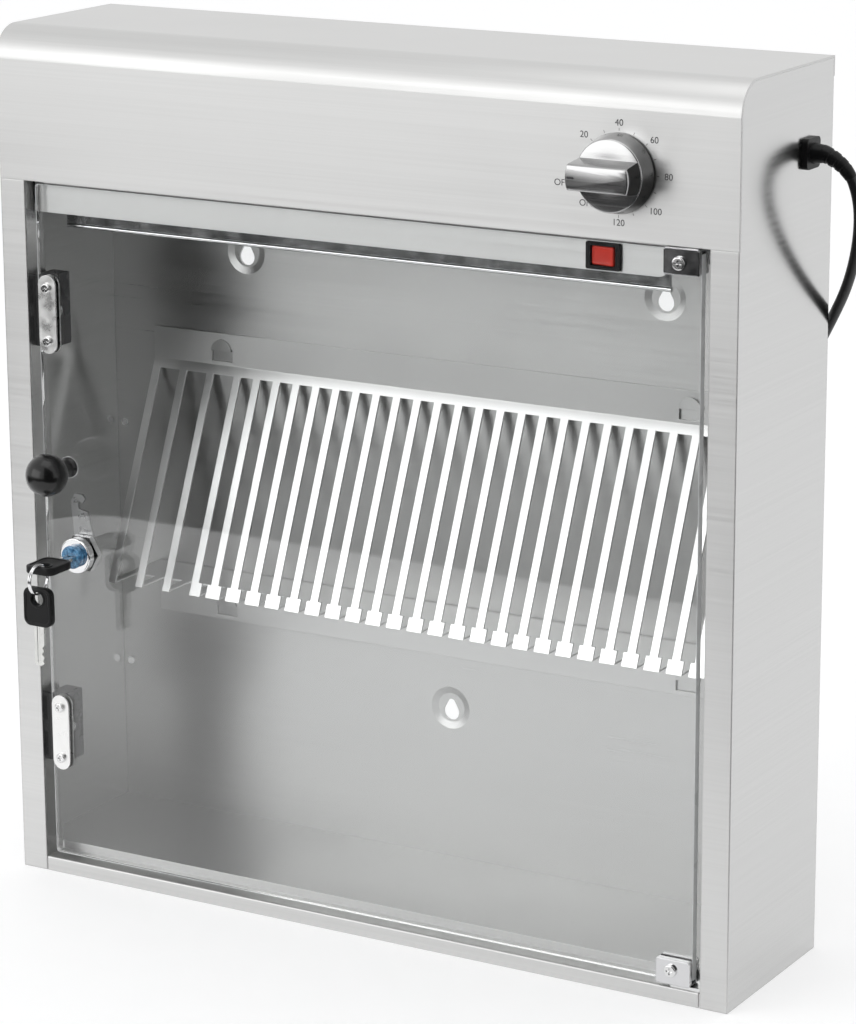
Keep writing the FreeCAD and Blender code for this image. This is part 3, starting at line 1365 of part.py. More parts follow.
def switch():
    rim_front = SHROUD + " - switch_rim"
    bezel = block("switch_bezel", (SWITCH_X + " - switch_width / 2", SWITCH_X + " + switch_width / 2"),
                  (rim_front, SHROUD),
                  (SWITCH_Z + " - switch_height / 2", SWITCH_Z + " + switch_height / 2"))
    soft = rounded("switch_bezel_rounded", bezel, "switch_round", along("y"))
    body = block("switch_case",
                 (SWITCH_X + " - switch_cutout_width / 2", SWITCH_X + " + switch_cutout_width / 2"),
                 (SHROUD, SHROUD + " + sheet + switch_depth"),
                 (SWITCH_Z + " - switch_cutout_height / 2", SWITCH_Z + " + switch_cutout_height / 2"))
    well = block("switch_well",
                 (SWITCH_X + " - rocker_width / 2 - 2 * moving_gap",
                  SWITCH_X + " + rocker_width / 2 + 2 * moving_gap"),
                 (rim_front + " - 1", SHROUD + " + rocker_depth + switch_well"),
                 (SWITCH_Z + " - rocker_height / 2 - moving_gap",
                  SWITCH_Z + " + rocker_height / 2 + moving_gap"))
    node("switch_housing", cut("switch_cut", fuse("switch_solid", soft, body), well))
    pivot = SHROUD + " + rocker_depth / 2"
    slab = block("rocker_slab", ("-rocker_width / 2", "rocker_width / 2"), ("-rocker_depth", "0"),
                 ("-rocker_height / 2", "rocker_height / 2"))
    turned = rounded("rocker_rounded", slab, "rocker_round", along("z"))
    turned.Placement.Rotation = FreeCAD.Rotation(V(0, 0, 1), -value("rocker_tilt"))
    place(turned, SWITCH_X, pivot, SWITCH_Z)
    node("switch_rocker", turned)
    print("rocker pivot", value(SWITCH_X), value(pivot), value(SWITCH_Z))


# Mains lead

def strain_relief():
    at = (RIGHT, "gland_y", "gland_z")
    flange = block("gland_plate", (RIGHT, RIGHT + " + gland_flange_depth"),
                   ("gland_y - gland_flange / 2", "gland_y + gland_flange / 2"),
                   ("gland_z - gland_flange / 2", "gland_z + gland_flange / 2"))
    soft = rounded("gland_rounded", flange, "gland_corner", along("x"))
    nose = cone("gland_taper", "gland_nose", "gland_nose * 0.8", "gland_flange_depth + gland_nose_depth", at,
                "x")
    neck = rod("gland_tube", "gland_hole", "sheet + gland_neck",
               (RIGHT + " - sheet - gland_neck", "gland_y", "gland_z"), "x")
    bore = rod("gland_bore", "cord_radius", "cord_inside + gland_nose_depth",
               (RIGHT + " - cord_inside / 2", "gland_y", "gland_z"), "x")
    node("strain_relief", cut("gland_cut", fuse("gland_solid", soft, nose, neck), bore))


# Where the mains lead runs: from the strain relief down behind the cabinet, to the point where its coil starts
LEAD_ROUTE = [
    (265, 29, 498),
    (278, 30, 493),
    (285, 34, 472),
    (281, 43, 446),
    (270, 55, 418),
    (255, 67, 394),
    (239, 72, 366),
    (227, 73, 330),
    (221, 72, 285),
    (218, 72.5, 205),
    (216, 71, 125),
    (213, 72, 70),
    (204, 74, 30),
    (182, 76.5, 8),
    (158, 77, 4.25),
    (140, 77, 4.25),
]

# Wires inside the hood, each from one terminal to another
WIRES = [
    [(234.8, 27.4, 498), (229, 27.6, 498.6), (226, 36, 502), (227, 47.6, 505), (220, 48, 505)],
    [(234.8, 30.8, 498), (230, 31, 499), (227, 38, 507), (227, 48.6, 511.7), (220, 49, 512)],
    [(190, 50, 505), (183, 49.6, 505.3), (178, 30, 511), (178, -14, 509), (178, -25.8, 508.6)],
    [(190, 50, 512), (184, 49.8, 512.5), (165, 47, 522), (75, 46, 524), (52, 45.2, 520.4), (43, 45, 520)],
    [(-83, 45, 520), (-92, 44.6, 520.5), (-130, 12, 528), (-210, 4, 520), (-232.5, 6.5, 500), (-233, 7, 481)],
    [(-195, 53, 503), (-195.2, 52.6, 497), (-214, 36, 493), (-234, 14, 492), (-235.8, 10.2, 488),
     (-236, 10, 481)],
    [
        (-181.3, 53, 517), (-175, 52.7, 518), (-160, 50, 533), (-110, 48, 545),
        (60, 47, 545), (205, 28, 532), (217.6, 8, 505), (218, 7, 481),
    ],
    [(172, -35, 467.5), (171.8, -34.6, 459), (168.5, -31.6, 448), (166.2, -31, 444), (166, -34.8, 443.6)],
]


def bent_route(points, report=None):
    """Straight runs joined by tangent arcs, in one wire. Each arc takes 0.45 of the shorter run beside it."""
    points = [V(*point) for point in points]
    edges = []
    radii = []
    start = points[0]
    for before, corner, after in zip(points, points[1:], points[2:]):
        way_in = (corner - before).normalize()
        way_out = (after - corner).normalize()
        half_turn = way_in.getAngle(way_out) / 2
        reach = 0.45 * min((corner - before).Length, (after - corner).Length)
        radii.append(reach / math.tan(half_turn))
        bend_start = corner - way_in * reach
        bend_end = corner + way_out * reach
        inward = (way_out - way_in).normalize()
        middle = corner + inward * radii[-1] * (1 / math.cos(half_turn) - 1)
        edges.append(Part.LineSegment(start, bend_start).toShape())
        edges.append(Part.Arc(bend_start, middle, bend_end).toShape())
        start = bend_end
    edges.append(Part.LineSegment(start, points[-1]).toShape())
    if report:
        print(report, "radii", [round(radius, 1) for radius in radii])
    return Part.Wire(edges)


def sweep(wire, radius):
    first = wire.OrderedEdges[0]
    start = first.valueAt(first.FirstParameter)
    heading = first.tangentAt(first.FirstParameter)
    ring = Part.Wire(Part.makeCircle(radius, start, heading))
    return wire.makePipeShell([ring], True, False)


def feature(name, shape):
    made = doc.addObject("Part::Feature", name)
    made.Shape = shape
    return made


COIL_PITCH = 2 * SIZES["cord_radius"] + SIZES["coil_gap"]
COIL_LOW = SIZES["coil_lift"] + SIZES["cord_radius"]
COIL_HIGH = COIL_LOW + COIL_PITCH


def coil_point(turn):
    """The middle of the wound lead, so many turns from its start: in along one layer, out along the next."""
    innermost = SIZES["coil_turns"] + 0.25
    reach = SIZES["coil_inner"] + COIL_PITCH * abs(turn - innermost)
    climb = min(max((turn - innermost) * 2 + 0.5, 0), 1)
    height = COIL_LOW + COIL_PITCH * climb * climb * (3 - 2 * climb)
    angle = math.radians(-90 - 360 * turn)
    return V(SIZES["coil_x"] + reach * math.cos(angle), SIZES["coil_y"] + reach * math.sin(angle), height)


def coil_heading(turn):
    step = 0.004
    return (coil_point(turn + step) - coil_point(turn - step)).normalize()


def arc_from(start, heading, end):
    """The arc that leaves a point along a heading and ends at another point."""
    chord = end - start
    across = (chord - heading * chord.dot(heading)).normalize()
    radius = chord.dot(chord) / (2 * chord.dot(across))
    centre = start + across * radius
    middle = centre + ((start + end) * 0.5 - centre).normalize() * radius
    return Part.Arc(start, middle, end)


def biarc(start, heading, end, end_heading):
    """Two arcs that meet smoothly and keep the headings at both ends."""
    chord = end - start
    both = heading + end_heading
    a = both.dot(both) - 4
    b = -2 * chord.dot(both)
    c = chord.dot(chord)
    arm = (-b - math.sqrt(b * b - 4 * a * c)) / (2 * a)
    joint = ((start + heading * arm) + (end - end_heading * arm)) * 0.5
    return [arc_from(start, heading, joint), arc_from(end, end_heading * -1, joint)]


def coil():
    quarters = round(4 * (2 * SIZES["coil_turns"] + 0.25))
    curves = []
    ends = [(coil_point(number / 4), coil_heading(number / 4)) for number in range(quarters + 1)]
    ends[0] = (ends[0][0], V(-1, 0, 0))
    ends[-1] = (ends[-1][0], V(0, 1, 0))
    for (start, heading), (end, end_heading) in zip(ends, ends[1:]):
        curves += biarc(start, heading, end, end_heading)
    tail_start = ends[-1][0]
    tail_end = tail_start + V(0, SIZES["coil_tail"], 0)
    curves.append(Part.LineSegment(tail_start, tail_end))
    wire = Part.Wire([curve.toShape() for curve in curves])
    points = wire.discretize(Distance=2.0)
    apart = round(SIZES["coil_inner"] * math.pi / 2)
    gap = min(
        (one - other).Length
        for i, one in enumerate(points)
        for other in points[i + apart:]
    ) - 2 * SIZES["cord_radius"]
    print("coil length", round(wire.Length), "least gap to itself", round(gap, 2))
    node("cord_coil", feature("coil_tube", sweep(wire, SIZES["cord_radius"])))
    return tail_end


# The plug's pins: steps to the side and forward in pin pitches, width, depth and length
PLUG_PINS = (
    ("live", 1, 0, 6.4, 4.0, 17.7),
    ("neutral", -1, 0, 6.4, 4.0, 17.7),
    ("earth", 0, 1, 4.0, 8.0, 22.7),
)


def mains_lead():
    wire = bent_route(LEAD_ROUTE, "lead")
    length = wire.Length
    tube = sweep(wire, SIZES["cord_radius"])
    ratio = tube.Volume / (math.pi * SIZES["cord_radius"] ** 2 * length)
    print("lead length", round(length), "volume ratio", round(ratio, 4))
    stub = Part.makeCylinder(SIZES["cord_radius"], SIZES["cord_inside"], V(*LEAD_ROUTE[0]), V(-1, 0, 0))
    node("mains_cord", feature("lead_tube", tube.fuse(stub)))
    tail = coil()

    bundle_low = COIL_PITCH * 0.5 - SIZES["cord_radius"]
    bundle_high = COIL_PITCH * 1.5 + SIZES["cord_radius"]
    across = ("coil_x + coil_inner + %s - tie_inner_gap" % bundle_low,
              "coil_x + coil_inner + %s + tie_gap" % bundle_high)
    upright = ("tie_sheet", "%s + cord_radius + tie_gap" % COIL_HIGH)
    along_y = ("coil_y - tie_width / 2", "coil_y + tie_width / 2")
    outer = block("tie_outer", (across[0] + " - tie_sheet", across[1] + " + tie_sheet"), along_y,
                  ("0", upright[1] + " + tie_sheet"))
    soft = rounded("tie_rounded", outer, "tie_corner", along("y"))
    inner = block("tie_inner", across, ("coil_y - tie_width", "coil_y + tie_width"), upright)
    node("cord_tie", cut("tie_cut", soft, inner))

    x, y, z = (str(round(part, 3)) for part in tail)
    body_y = (y + " + plug_neck", y + " + plug_neck + plug_length")
    body = block("plug_case", (x + " - plug_width / 2", x + " + plug_width / 2"), body_y,
                 (z + " - plug_height / 2", z + " + plug_height / 2"))
    soft = rounded("plug_rounded", body, "plug_corner", along("z"))
    nose = cone("plug_relief", "plug_nose * 0.7", "plug_nose", "plug_neck + 1", (x, y, z), "y")
    pins = []
    slots = []
    for name, side, forward, width, depth, length in PLUG_PINS:
        at_x = "%s + %d * plug_pin_pitch / 2" % (x, side)
        at_y = "%s + plug_neck + plug_pin_line + %d * plug_pin_pitch" % (y, forward)
        bounds = ((at_x + " - %s / 2" % width, at_x + " + %s / 2" % width),
                  (at_y + " - %s / 2" % depth, at_y + " + %s / 2" % depth))
        root = z + " + plug_height / 2 - plug_pin_root"
        pins.append(block("plug_pin_" + name, *bounds, (root, z + " + plug_height / 2 + %s" % length)))
        slots.append(block("plug_slot_" + name, *bounds, (root, z + " + plug_height / 2 + 1")))
    node("mains_plug", cut("plug_body_cut", fuse("plug_body", soft, nose), *slots))
    node("plug_pins", group("plug_pin_group", *pins))


def internal_wiring():
    wires = [feature("wire%d" % number, sweep(bent_route(points), SIZES["wire_radius"]))
             for number, points in enumerate(WIRES)]
    node("internal_wiring", group("wire_group", *wires))


casing()
back_panel()
bottom_panel()
casing_screws()
knife_rack()
door()
door_knob()
lock()
electrics(lamp())
timer()
switch()
strain_relief()
mains_lead()
internal_wiring()

doc.recompute()
faults = [thing.Name for thing in doc.Objects if "Invalid" in thing.State or "Error" in thing.State]
if faults:
    raise RuntimeError("objects with errors: %s" % ", ".join(faults))
os.makedirs("parts", exist_ok=True)
for made in nodes:
    if made.Shape.isNull() or not made.Shape.isValid():
        raise RuntimeError("%s has no valid shape" % made.Label)
    made.Shape.exportStep("parts/%s.step" % made.Label)
print("sub-parts", len(nodes))
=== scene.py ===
"""Looks of the ultraviolet knife cabinet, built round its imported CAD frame, in metres on the frame's axes."""

import math

import bmesh
import bpy
from mathutils import Matrix, Quaternion, Vector


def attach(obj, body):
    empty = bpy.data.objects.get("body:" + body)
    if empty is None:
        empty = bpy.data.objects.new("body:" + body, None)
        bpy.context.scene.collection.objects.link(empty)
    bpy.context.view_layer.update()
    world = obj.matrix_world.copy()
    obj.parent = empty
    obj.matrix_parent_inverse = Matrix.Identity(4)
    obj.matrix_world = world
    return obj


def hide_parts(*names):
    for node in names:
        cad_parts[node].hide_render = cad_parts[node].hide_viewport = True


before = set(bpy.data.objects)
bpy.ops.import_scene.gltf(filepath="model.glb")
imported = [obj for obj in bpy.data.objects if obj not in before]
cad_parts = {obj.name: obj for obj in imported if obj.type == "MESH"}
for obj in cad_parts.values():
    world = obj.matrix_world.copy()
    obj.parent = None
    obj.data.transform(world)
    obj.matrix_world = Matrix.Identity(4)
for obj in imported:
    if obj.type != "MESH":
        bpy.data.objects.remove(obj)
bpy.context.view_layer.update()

MM = 0.001

# Camera, fitted to the cabinet's edges in the photograph
CAMERA_PLACE = Vector((1.1289, -1.8898, 0.8453))
CAMERA_AZIMUTH = math.radians(30.468)
CAMERA_ELEVATION = math.radians(14.934)
CAMERA_ROLL = math.radians(-0.321)
FOCAL_PIXELS = 3689.5
PHOTO_HEIGHT = 1024
SENSOR = 36.0
NEAREST_SEEN = 0.05
FARTHEST_SEEN = 30


def camera():
    """The photograph's camera."""
    data = bpy.data.cameras.new("camera")
    data.sensor_width = SENSOR
    data.lens = FOCAL_PIXELS / PHOTO_HEIGHT * SENSOR
    data.clip_start = NEAREST_SEEN
    data.clip_end = FARTHEST_SEEN
    seen = bpy.data.objects.new("camera", data)
    bpy.context.scene.collection.objects.link(seen)
    flat = math.cos(CAMERA_ELEVATION)
    ahead = Vector((
        -math.sin(CAMERA_AZIMUTH) * flat,
        math.cos(CAMERA_AZIMUTH) * flat,
        -math.sin(CAMERA_ELEVATION),
    ))
    turn = ahead.to_track_quat("-Z", "Y") @ Quaternion((0, 0, 1), CAMERA_ROLL)
    seen.matrix_world = Matrix.Translation(CAMERA_PLACE) @ turn.to_matrix().to_4x4()
    bpy.context.scene.camera = seen


# Materials

EVEN = (1, 1, 1)


class Nodes:
    """A material's node tree with short calls to fill it."""

    def __init__(self, name):
        self.material = bpy.data.materials.new(name)
        self.material.use_nodes = True
        self.tree = self.material.node_tree
        self.shader = self.tree.nodes["Principled BSDF"]
        self.place = self.add("ShaderNodeTexCoord").outputs["Object"]

    def add(self, kind, **settings):
        made = self.tree.nodes.new(kind)
        for key, setting in settings.items():
            setattr(made, key, setting)
        return made

    def link(self, source, target):
        self.tree.links.new(source, target)

    def noise(self, scale, stretch=EVEN, detail=3.0, roughness=0.55):
        """A noise texture in object space, with its scale along x, y and z multiplied by stretch."""
        mapping = self.add("ShaderNodeMapping")
        mapping.inputs["Scale"].default_value = stretch
        self.link(self.place, mapping.inputs["Vector"])
        made = self.add("ShaderNodeTexNoise")
        made.inputs["Scale"].default_value = scale
        made.inputs["Detail"].default_value = detail
        made.inputs["Roughness"].default_value = roughness
        self.link(mapping.outputs["Vector"], made.inputs["Vector"])
        return made.outputs["Fac"]

    def spread(self, source, low, high, start=0.3, end=0.7):
        """Maps a texture's middle range to a range of numbers."""
        made = self.add("ShaderNodeMapRange")
        made.inputs["From Min"].default_value = start
        made.inputs["From Max"].default_value = end
        made.inputs["To Min"].default_value = low
        made.inputs["To Max"].default_value = high
        self.link(source, made.inputs["Value"])
        return made.outputs["Result"]

    def blend(self, factor, dark, light):
        """A colour between two, by a texture's value."""
        made = self.add("ShaderNodeMix", data_type="RGBA")
        made.inputs["A"].default_value = (*dark, 1)
        made.inputs["B"].default_value = (*light, 1)
        self.link(factor, made.inputs["Factor"])
        return made.outputs["Result"]

    def bump(self, height, distance, edge=0.0):
        """Relief on the surface, and edges rounded in the shading by that many millimetres."""
        made = self.add("ShaderNodeBump")
        made.inputs["Distance"].default_value = distance
        self.link(height, made.inputs["Height"])
        if edge:
            soft = self.add("ShaderNodeBevel", samples=4)
            soft.inputs["Radius"].default_value = edge * MM
            self.link(soft.outputs["Normal"], made.inputs["Normal"])
        self.link(made.outputs["Normal"], self.shader.inputs["Normal"])

    def set(self, **values):
        """Sets the shader's sockets, whose names have _ for their spaces."""
        for key, value in values.items():
            self.shader.inputs[key.replace("_", " ")].default_value = value


# Where the look changes from the front face to what is behind it, and from a sheet to its flange on the back
FRONT_PLANE = (-0.0605, -0.059)
WALL_FLANGE = (0.0545, 0.0565)
# How fine the lines of ground metal are along themselves and across
GRIND_ALONG = 3
GRIND_ACROSS = 700


def steel(
    name, colour, along, roughness=0.36, pull=0.7, depth=0.000008, edge=0.5, smooth_behind=None, wall=None,
):
    """Ground sheet metal: lines along the named axes, which spread highlights across them.

    With smooth_behind, the roughness behind the front plane is multiplied by it.
    With wall, the flanges that lie on the cabinet's back have that colour and the rest keeps colour; the knife
    rack uses this so its bars carry a painted sheen, lighter than the flanges' plain steel.
    """
    n = Nodes(name)
    stretch = tuple(GRIND_ALONG if axis in along else GRIND_ACROSS for axis in "xyz")
    lines = n.noise(1.0, stretch, 4, 0.7)
    patches = n.noise(9, detail=2)
    dark = tuple(part * 0.92 for part in colour)
    toned = n.blend(n.spread(lines, 0, 1, 0.25, 0.75), dark, colour)
    split = n.add("ShaderNodeSeparateXYZ")
    n.link(n.place, split.inputs[0])
    if wall:
        both = n.add("ShaderNodeMix", data_type="RGBA")
        n.link(n.spread(split.outputs["Y"], 0, 1, *WALL_FLANGE), both.inputs["Factor"])
        n.link(toned, both.inputs["A"])
        both.inputs["B"].default_value = (*wall, 1)
        toned = both.outputs["Result"]
    n.link(toned, n.shader.inputs["Base Color"])
    wear = n.add("ShaderNodeMath", operation="ADD")
    n.link(n.spread(lines, -0.05, 0.05), wear.inputs[0])
    n.link(n.spread(patches, roughness - 0.03, roughness + 0.04), wear.inputs[1])
    worn = wear.outputs[0]
    if smooth_behind:
        less = n.add("ShaderNodeMath", operation="MULTIPLY")
        n.link(worn, less.inputs[0])
        n.link(n.spread(split.outputs["Y"], 1.0, smooth_behind, *FRONT_PLANE), less.inputs[1])
        worn = less.outputs[0]
    n.link(worn, n.shader.inputs["Roughness"])
    across = n.add("ShaderNodeCombineXYZ")
    for number, axis in enumerate("xyz"):
        across.inputs[number].default_value = 0 if axis in along else 1
    n.link(across.outputs[0], n.shader.inputs["Tangent"])
    n.bump(lines, depth, edge=edge)
    n.set(Metallic=1.0, Anisotropic=pull)
    return n.material


def bright(name, colour, roughness=0.12, edge=0.3):
    """Plated or polished metal with faint handling marks."""
    n = Nodes(name)
    marks = n.noise(120, detail=4)
    n.link(n.spread(marks, roughness * 0.7, roughness * 1.5), n.shader.inputs["Roughness"])
    n.link(n.blend(marks, tuple(part * 0.94 for part in colour), colour), n.shader.inputs["Base Color"])
    n.bump(n.noise(900, detail=2), 0.000004, edge=edge)
    n.set(Metallic=1.0)
    return n.material


def plastic(name, colour, roughness=0.35, grain=1500, depth=0.00001, coat=0.0, edge=0.4, shine=0.5):
    """Moulded plastic or rubber with a fine grain and slight unevenness of colour and gloss."""
    n = Nodes(name)
    cloud = n.noise(60)
    dark = tuple(part * 0.8 for part in colour)
    n.link(n.blend(n.spread(cloud, 0, 1), dark, colour), n.shader.inputs["Base Color"])
    n.link(n.spread(cloud, roughness * 0.85, roughness * 1.15), n.shader.inputs["Roughness"])
    n.bump(n.noise(grain, detail=2), depth, edge=edge)
    n.set(Coat_Weight=coat, Specular_IOR_Level=shine)
    return n.material


def mottled(name, dark, light):
    """Pearly moulded plastic, its colour in streaks."""
    n = Nodes(name)
    streaks = n.noise(420, EVEN, 5, 0.7)
    n.link(n.blend(n.spread(streaks, 0, 1, 0.35, 0.65), dark, light), n.shader.inputs["Base Color"])
    n.link(n.spread(streaks, 0.15, 0.35), n.shader.inputs["Roughness"])
    n.bump(streaks, 0.00002, edge=0.4)
    n.set(Coat_Weight=0.5)
    return n.material


def clear(name, tint, roughness, ior):
    """Clear acrylic or glass with faint scuffs in its gloss. The lamps' light goes straight through it."""
    n = Nodes(name)
    scuffs = n.noise(70, detail=5)
    n.link(n.spread(scuffs, roughness * 0.4, roughness * 1.6), n.shader.inputs["Roughness"])
    n.set(Base_Color=(*tint, 1), Transmission_Weight=1.0, IOR=ior)
    path = n.add("ShaderNodeLightPath")
    open_way = n.add("ShaderNodeBsdfTransparent")
    open_way.inputs["Color"].default_value = (*tint, 1)
    mix = n.add("ShaderNodeMixShader")
    n.link(path.outputs["Is Shadow Ray"], mix.inputs["Fac"])
    n.link(n.shader.outputs["BSDF"], mix.inputs[1])
    n.link(open_way.outputs["BSDF"], mix.inputs[2])
    n.link(mix.outputs["Shader"], n.tree.nodes["Material Output"].inputs["Surface"])
    return n.material


STEEL = (0.62, 0.62, 0.615)
MATERIALS = {
    "sheet_along_x": steel("sheet_along_x", STEEL, "x"),
    "side_sheet": steel("side_sheet", STEEL, "xy", pull=0.6, edge=1.2, smooth_behind=0.55),
    # The bottom panel and its front rail are painted a little darker than the same steel, painted shade.
    "base_sheet_painted_shade": steel("base_sheet_painted_shade", (0.6, 0.6, 0.595), "x"),
    # The back panel is painted a little darker than the same steel elsewhere, painted shade for the inside of
    # the cabinet.
    "back_sheet_painted_shade": steel("back_sheet_painted_shade", (0.55, 0.55, 0.545), "x", 0.34, 0.5, 0.000002),
    # The knife rack's bars are painted lighter than the same steel elsewhere, a painted sheen; only its flanges
    # on the back keep the plain steel colour.
    "rack_sheet": steel("rack_sheet", (0.86, 0.86, 0.855), "y", pull=0.4, wall=(0.6, 0.6, 0.595)),
    "knob_metal": steel("knob_metal", (0.46, 0.46, 0.46), "x", 0.2, 0.35, 0.000005, 0.2),
    "chrome": bright("chrome", (0.82, 0.82, 0.83), 0.06),
    "clamp_chrome": bright("clamp_chrome", (0.7, 0.7, 0.71), 0.1, 1.4),
    "cam_metal": bright("cam_metal", (0.34, 0.34, 0.34), 0.3, 0.5),
    "screw_metal": bright("screw_metal", (0.76, 0.76, 0.76), 0.16),
    "strike_metal": bright("strike_metal", (0.86, 0.86, 0.85), 0.3),
    "polished_aluminium": bright("polished_aluminium", (0.86, 0.865, 0.87), 0.12),
    "galvanised": bright("galvanised", (0.6, 0.62, 0.64), 0.35),
    "key_metal": bright("key_metal", (0.72, 0.72, 0.7), 0.2, 0.2),
    "black_gloss": plastic("black_gloss", (0.007, 0.007, 0.007), 0.24, 700, 0.000004, 0.15, shine=0.4),
    "black_moulded": plastic("black_moulded", (0.008, 0.008, 0.0085), 0.42, shine=0.25),
    "smoky_moulded": plastic("smoky_moulded", (0.11, 0.11, 0.112), 0.3, 900, 0.000004, 0.2),
    "black_sheath": plastic("black_sheath", (0.014, 0.014, 0.015), 0.4, 2200, edge=0),
    "white_moulded": plastic("white_moulded", (0.8, 0.8, 0.78), 0.4),
    "ballast_paint": plastic("ballast_paint", (0.06, 0.06, 0.065), 0.35, 400, 0.00003),
    "wire_cover": plastic("wire_cover", (0.4, 0.42, 0.46), 0.35, edge=0),
    "bush_plastic": plastic("bush_plastic", (0.82, 0.82, 0.8), 0.35),
    "blue_moulded": mottled("blue_moulded", (0.02, 0.07, 0.16), (0.12, 0.36, 0.62)),
    "red_lens": plastic("red_lens", (0.78, 0.045, 0.025), 0.35, 900, 0.000004, 0.1, 0.5, 0.3),
    "ferrite": plastic("ferrite", (0.05, 0.05, 0.052), 0.6, 3000, 0.00002),
    "brass": bright("brass", (0.78, 0.62, 0.3), 0.18),
    "door_clear": clear("door_clear", (0.965, 0.972, 0.972), 0.008, 1.6),
    "lamp_glass": clear("lamp_glass", (0.93, 0.95, 0.97), 0.04, 1.45),
    "dial_ink": plastic("dial_ink", (0.035, 0.035, 0.04), 0.5, edge=0),
    # The pane's satin hinge-side edge: pale as frosted acrylic is, and lightened further as painted light
    # against the shade of the gap beside it.
    "satin_edge_and_painted_light": plastic("satin_edge_and_painted_light", (0.88, 0.89, 0.89), 0.3, 600, 0.000002, 0.3, 0),
    # An opaque pale tube that paints the highlight of the pane's polished front edge.
    "polished_arris_painted_highlight": plastic("polished_arris_painted_highlight", (0.8, 0.82, 0.82), 0.12, 600, 0.000002, 0.4, 0),
}

DRESS = {
    "sheet_along_x": ["hood", "lamp_shroud"],
    "base_sheet_painted_shade": ["bottom_panel"],
    "back_sheet_painted_shade": ["back_panel"],
    "side_sheet": ["left_side_panel", "right_side_panel"],
    "rack_sheet": ["knife_rack"],
    "chrome": ["lock_barrel", "lock_nut", "lock_plug", "key_ring"],
    "clamp_chrome": ["upper_hinge_clamp", "lower_hinge_clamp"],
    "cam_metal": ["hook_cam"],
    "screw_metal": [
        "cabinet_screws", "casing_rivets", "electrics_screws", "timer_screws", "hinge_pins",
        "hinge_clamp_screws", "strike_plate_screws", "door_knob_washer", "door_knob_screw", "cam_screw",
        "timer_shaft", "lower_hinge_bracket",
    ],
    "strike_metal": ["outer_strike_plates", "inner_strike_plates"],
    "polished_aluminium": ["reflector", "reflector_straps", "starter", "lamp_end_caps"],
    "galvanised": ["lampholder_brackets"],
    "key_metal": ["key_blade", "spare_key_blade"],
    "black_gloss": ["door_knob"],
    "black_moulded": [
        "switch_housing", "key_head", "spare_key_head", "strain_relief", "cord_tie", "mains_plug",
    ],
    "smoky_moulded": ["magnetic_catches"],
    "black_sheath": ["mains_cord", "cord_coil"],
    "white_moulded": ["lampholders", "starter_base", "terminal_block", "timer_body"],
    "ballast_paint": ["ballast"],
    "wire_cover": ["internal_wiring"],
    "bush_plastic": ["hinge_bushes"],
    "blue_moulded": ["lock_face"],
    "red_lens": ["switch_rocker"],
    "ferrite": ["catch_magnets"],
    "brass": ["plug_pins"],
    "door_clear": ["door_pane"],
    "lamp_glass": ["uv_tube"],
    "knob_metal": ["timer_knob"],
}


def dress_frame():
    """Gives every CAD node its material."""
    for material, names in DRESS.items():
        for name in names:
            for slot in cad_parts[name].material_slots:
                slot.material = MATERIALS[material]


# Mains lead: the same route as the CAD's, then the coil's turns

LEAD_ROUTE_MM = [
    (265, 29, 498),
    (278, 30, 493),
    (285, 34, 472),
    (281, 43, 446),
    (270, 55, 418),
    (255, 67, 394),
    (239, 72, 366),
    (227, 73, 330),
    (221, 72, 285),
    (218, 72.5, 205),
    (216, 71, 125),
    (213, 72, 70),
    (204, 74, 30),
    (182, 76.5, 8),
    (158, 77, 4.25),
]
CORD_DIAMETER = 6.5 * MM
COIL_CENTRE = Vector((140 * MM, 120 * MM))
COIL_PITCH = 7 * MM
COIL_INNER = 27.25 * MM
COIL_INNERMOST_TURN = 2.25
COIL_TURNS = 4.25
COIL_LOW = 4.25 * MM
COIL_CLIMB_TURNS = 0.5
COIL_TAIL = 46 * MM
POINTS_A_TURN = 16


def coil_point(turn):
    """A point of the coil, which winds inwards on the table and then outwards a layer higher."""
    reach = COIL_INNER + COIL_PITCH * abs(turn - COIL_INNERMOST_TURN)
    # a control point stands this much outside the round line that it makes
    reach *= 2 / (1 + math.cos(math.pi / POINTS_A_TURN)) / math.cos(math.pi / POINTS_A_TURN) ** 0.5
    climb = min(max((turn - COIL_INNERMOST_TURN) / COIL_CLIMB_TURNS + 0.5, 0), 1)
    height = COIL_LOW + COIL_PITCH * climb * climb * (3 - 2 * climb)
    angle = math.radians(-90 - 360 * turn)
    return Vector((COIL_CENTRE.x + reach * math.cos(angle), COIL_CENTRE.y + reach * math.sin(angle), height))


def mains_lead():
    """The whole mains lead as one cord, from the strain relief to the plug."""
    points = [Vector(point) * MM for point in LEAD_ROUTE_MM]
    points += [coil_point(number / POINTS_A_TURN) for number in range(round(POINTS_A_TURN * COIL_TURNS) + 1)]
    last = points[-1]
    points.append(Vector((last.x, last.y + COIL_TAIL / 2, last.z)))
    points.append(Vector((last.x, last.y + COIL_TAIL, last.z)))
    data = bpy.data.curves.new("mains_lead", "CURVE")
    data.dimensions = "3D"
    data.bevel_depth = CORD_DIAMETER / 2
    data.bevel_resolution = 5
    data.resolution_u = 8
    data.use_fill_caps = True
    spline = data.splines.new("NURBS")
    spline.points.add(len(points) - 1)
    for target, point in zip(spline.points, points):
        target.co = (*point, 1)
    spline.order_u = 3
    spline.use_endpoint_u = True
    lead = bpy.data.objects.new("mains_lead", data)
    bpy.context.scene.collection.objects.link(lead)
    data.materials.append(MATERIALS["black_sheath"])
    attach(lead, "cabinet")
    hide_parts("mains_cord", "cord_coil")


# Pieces in mesh code, measured in millimetres

def ring(points, matrix=Matrix()):
    """Points in metres, from points in millimetres."""
    return [matrix @ (Vector(point) * MM) for point in points]


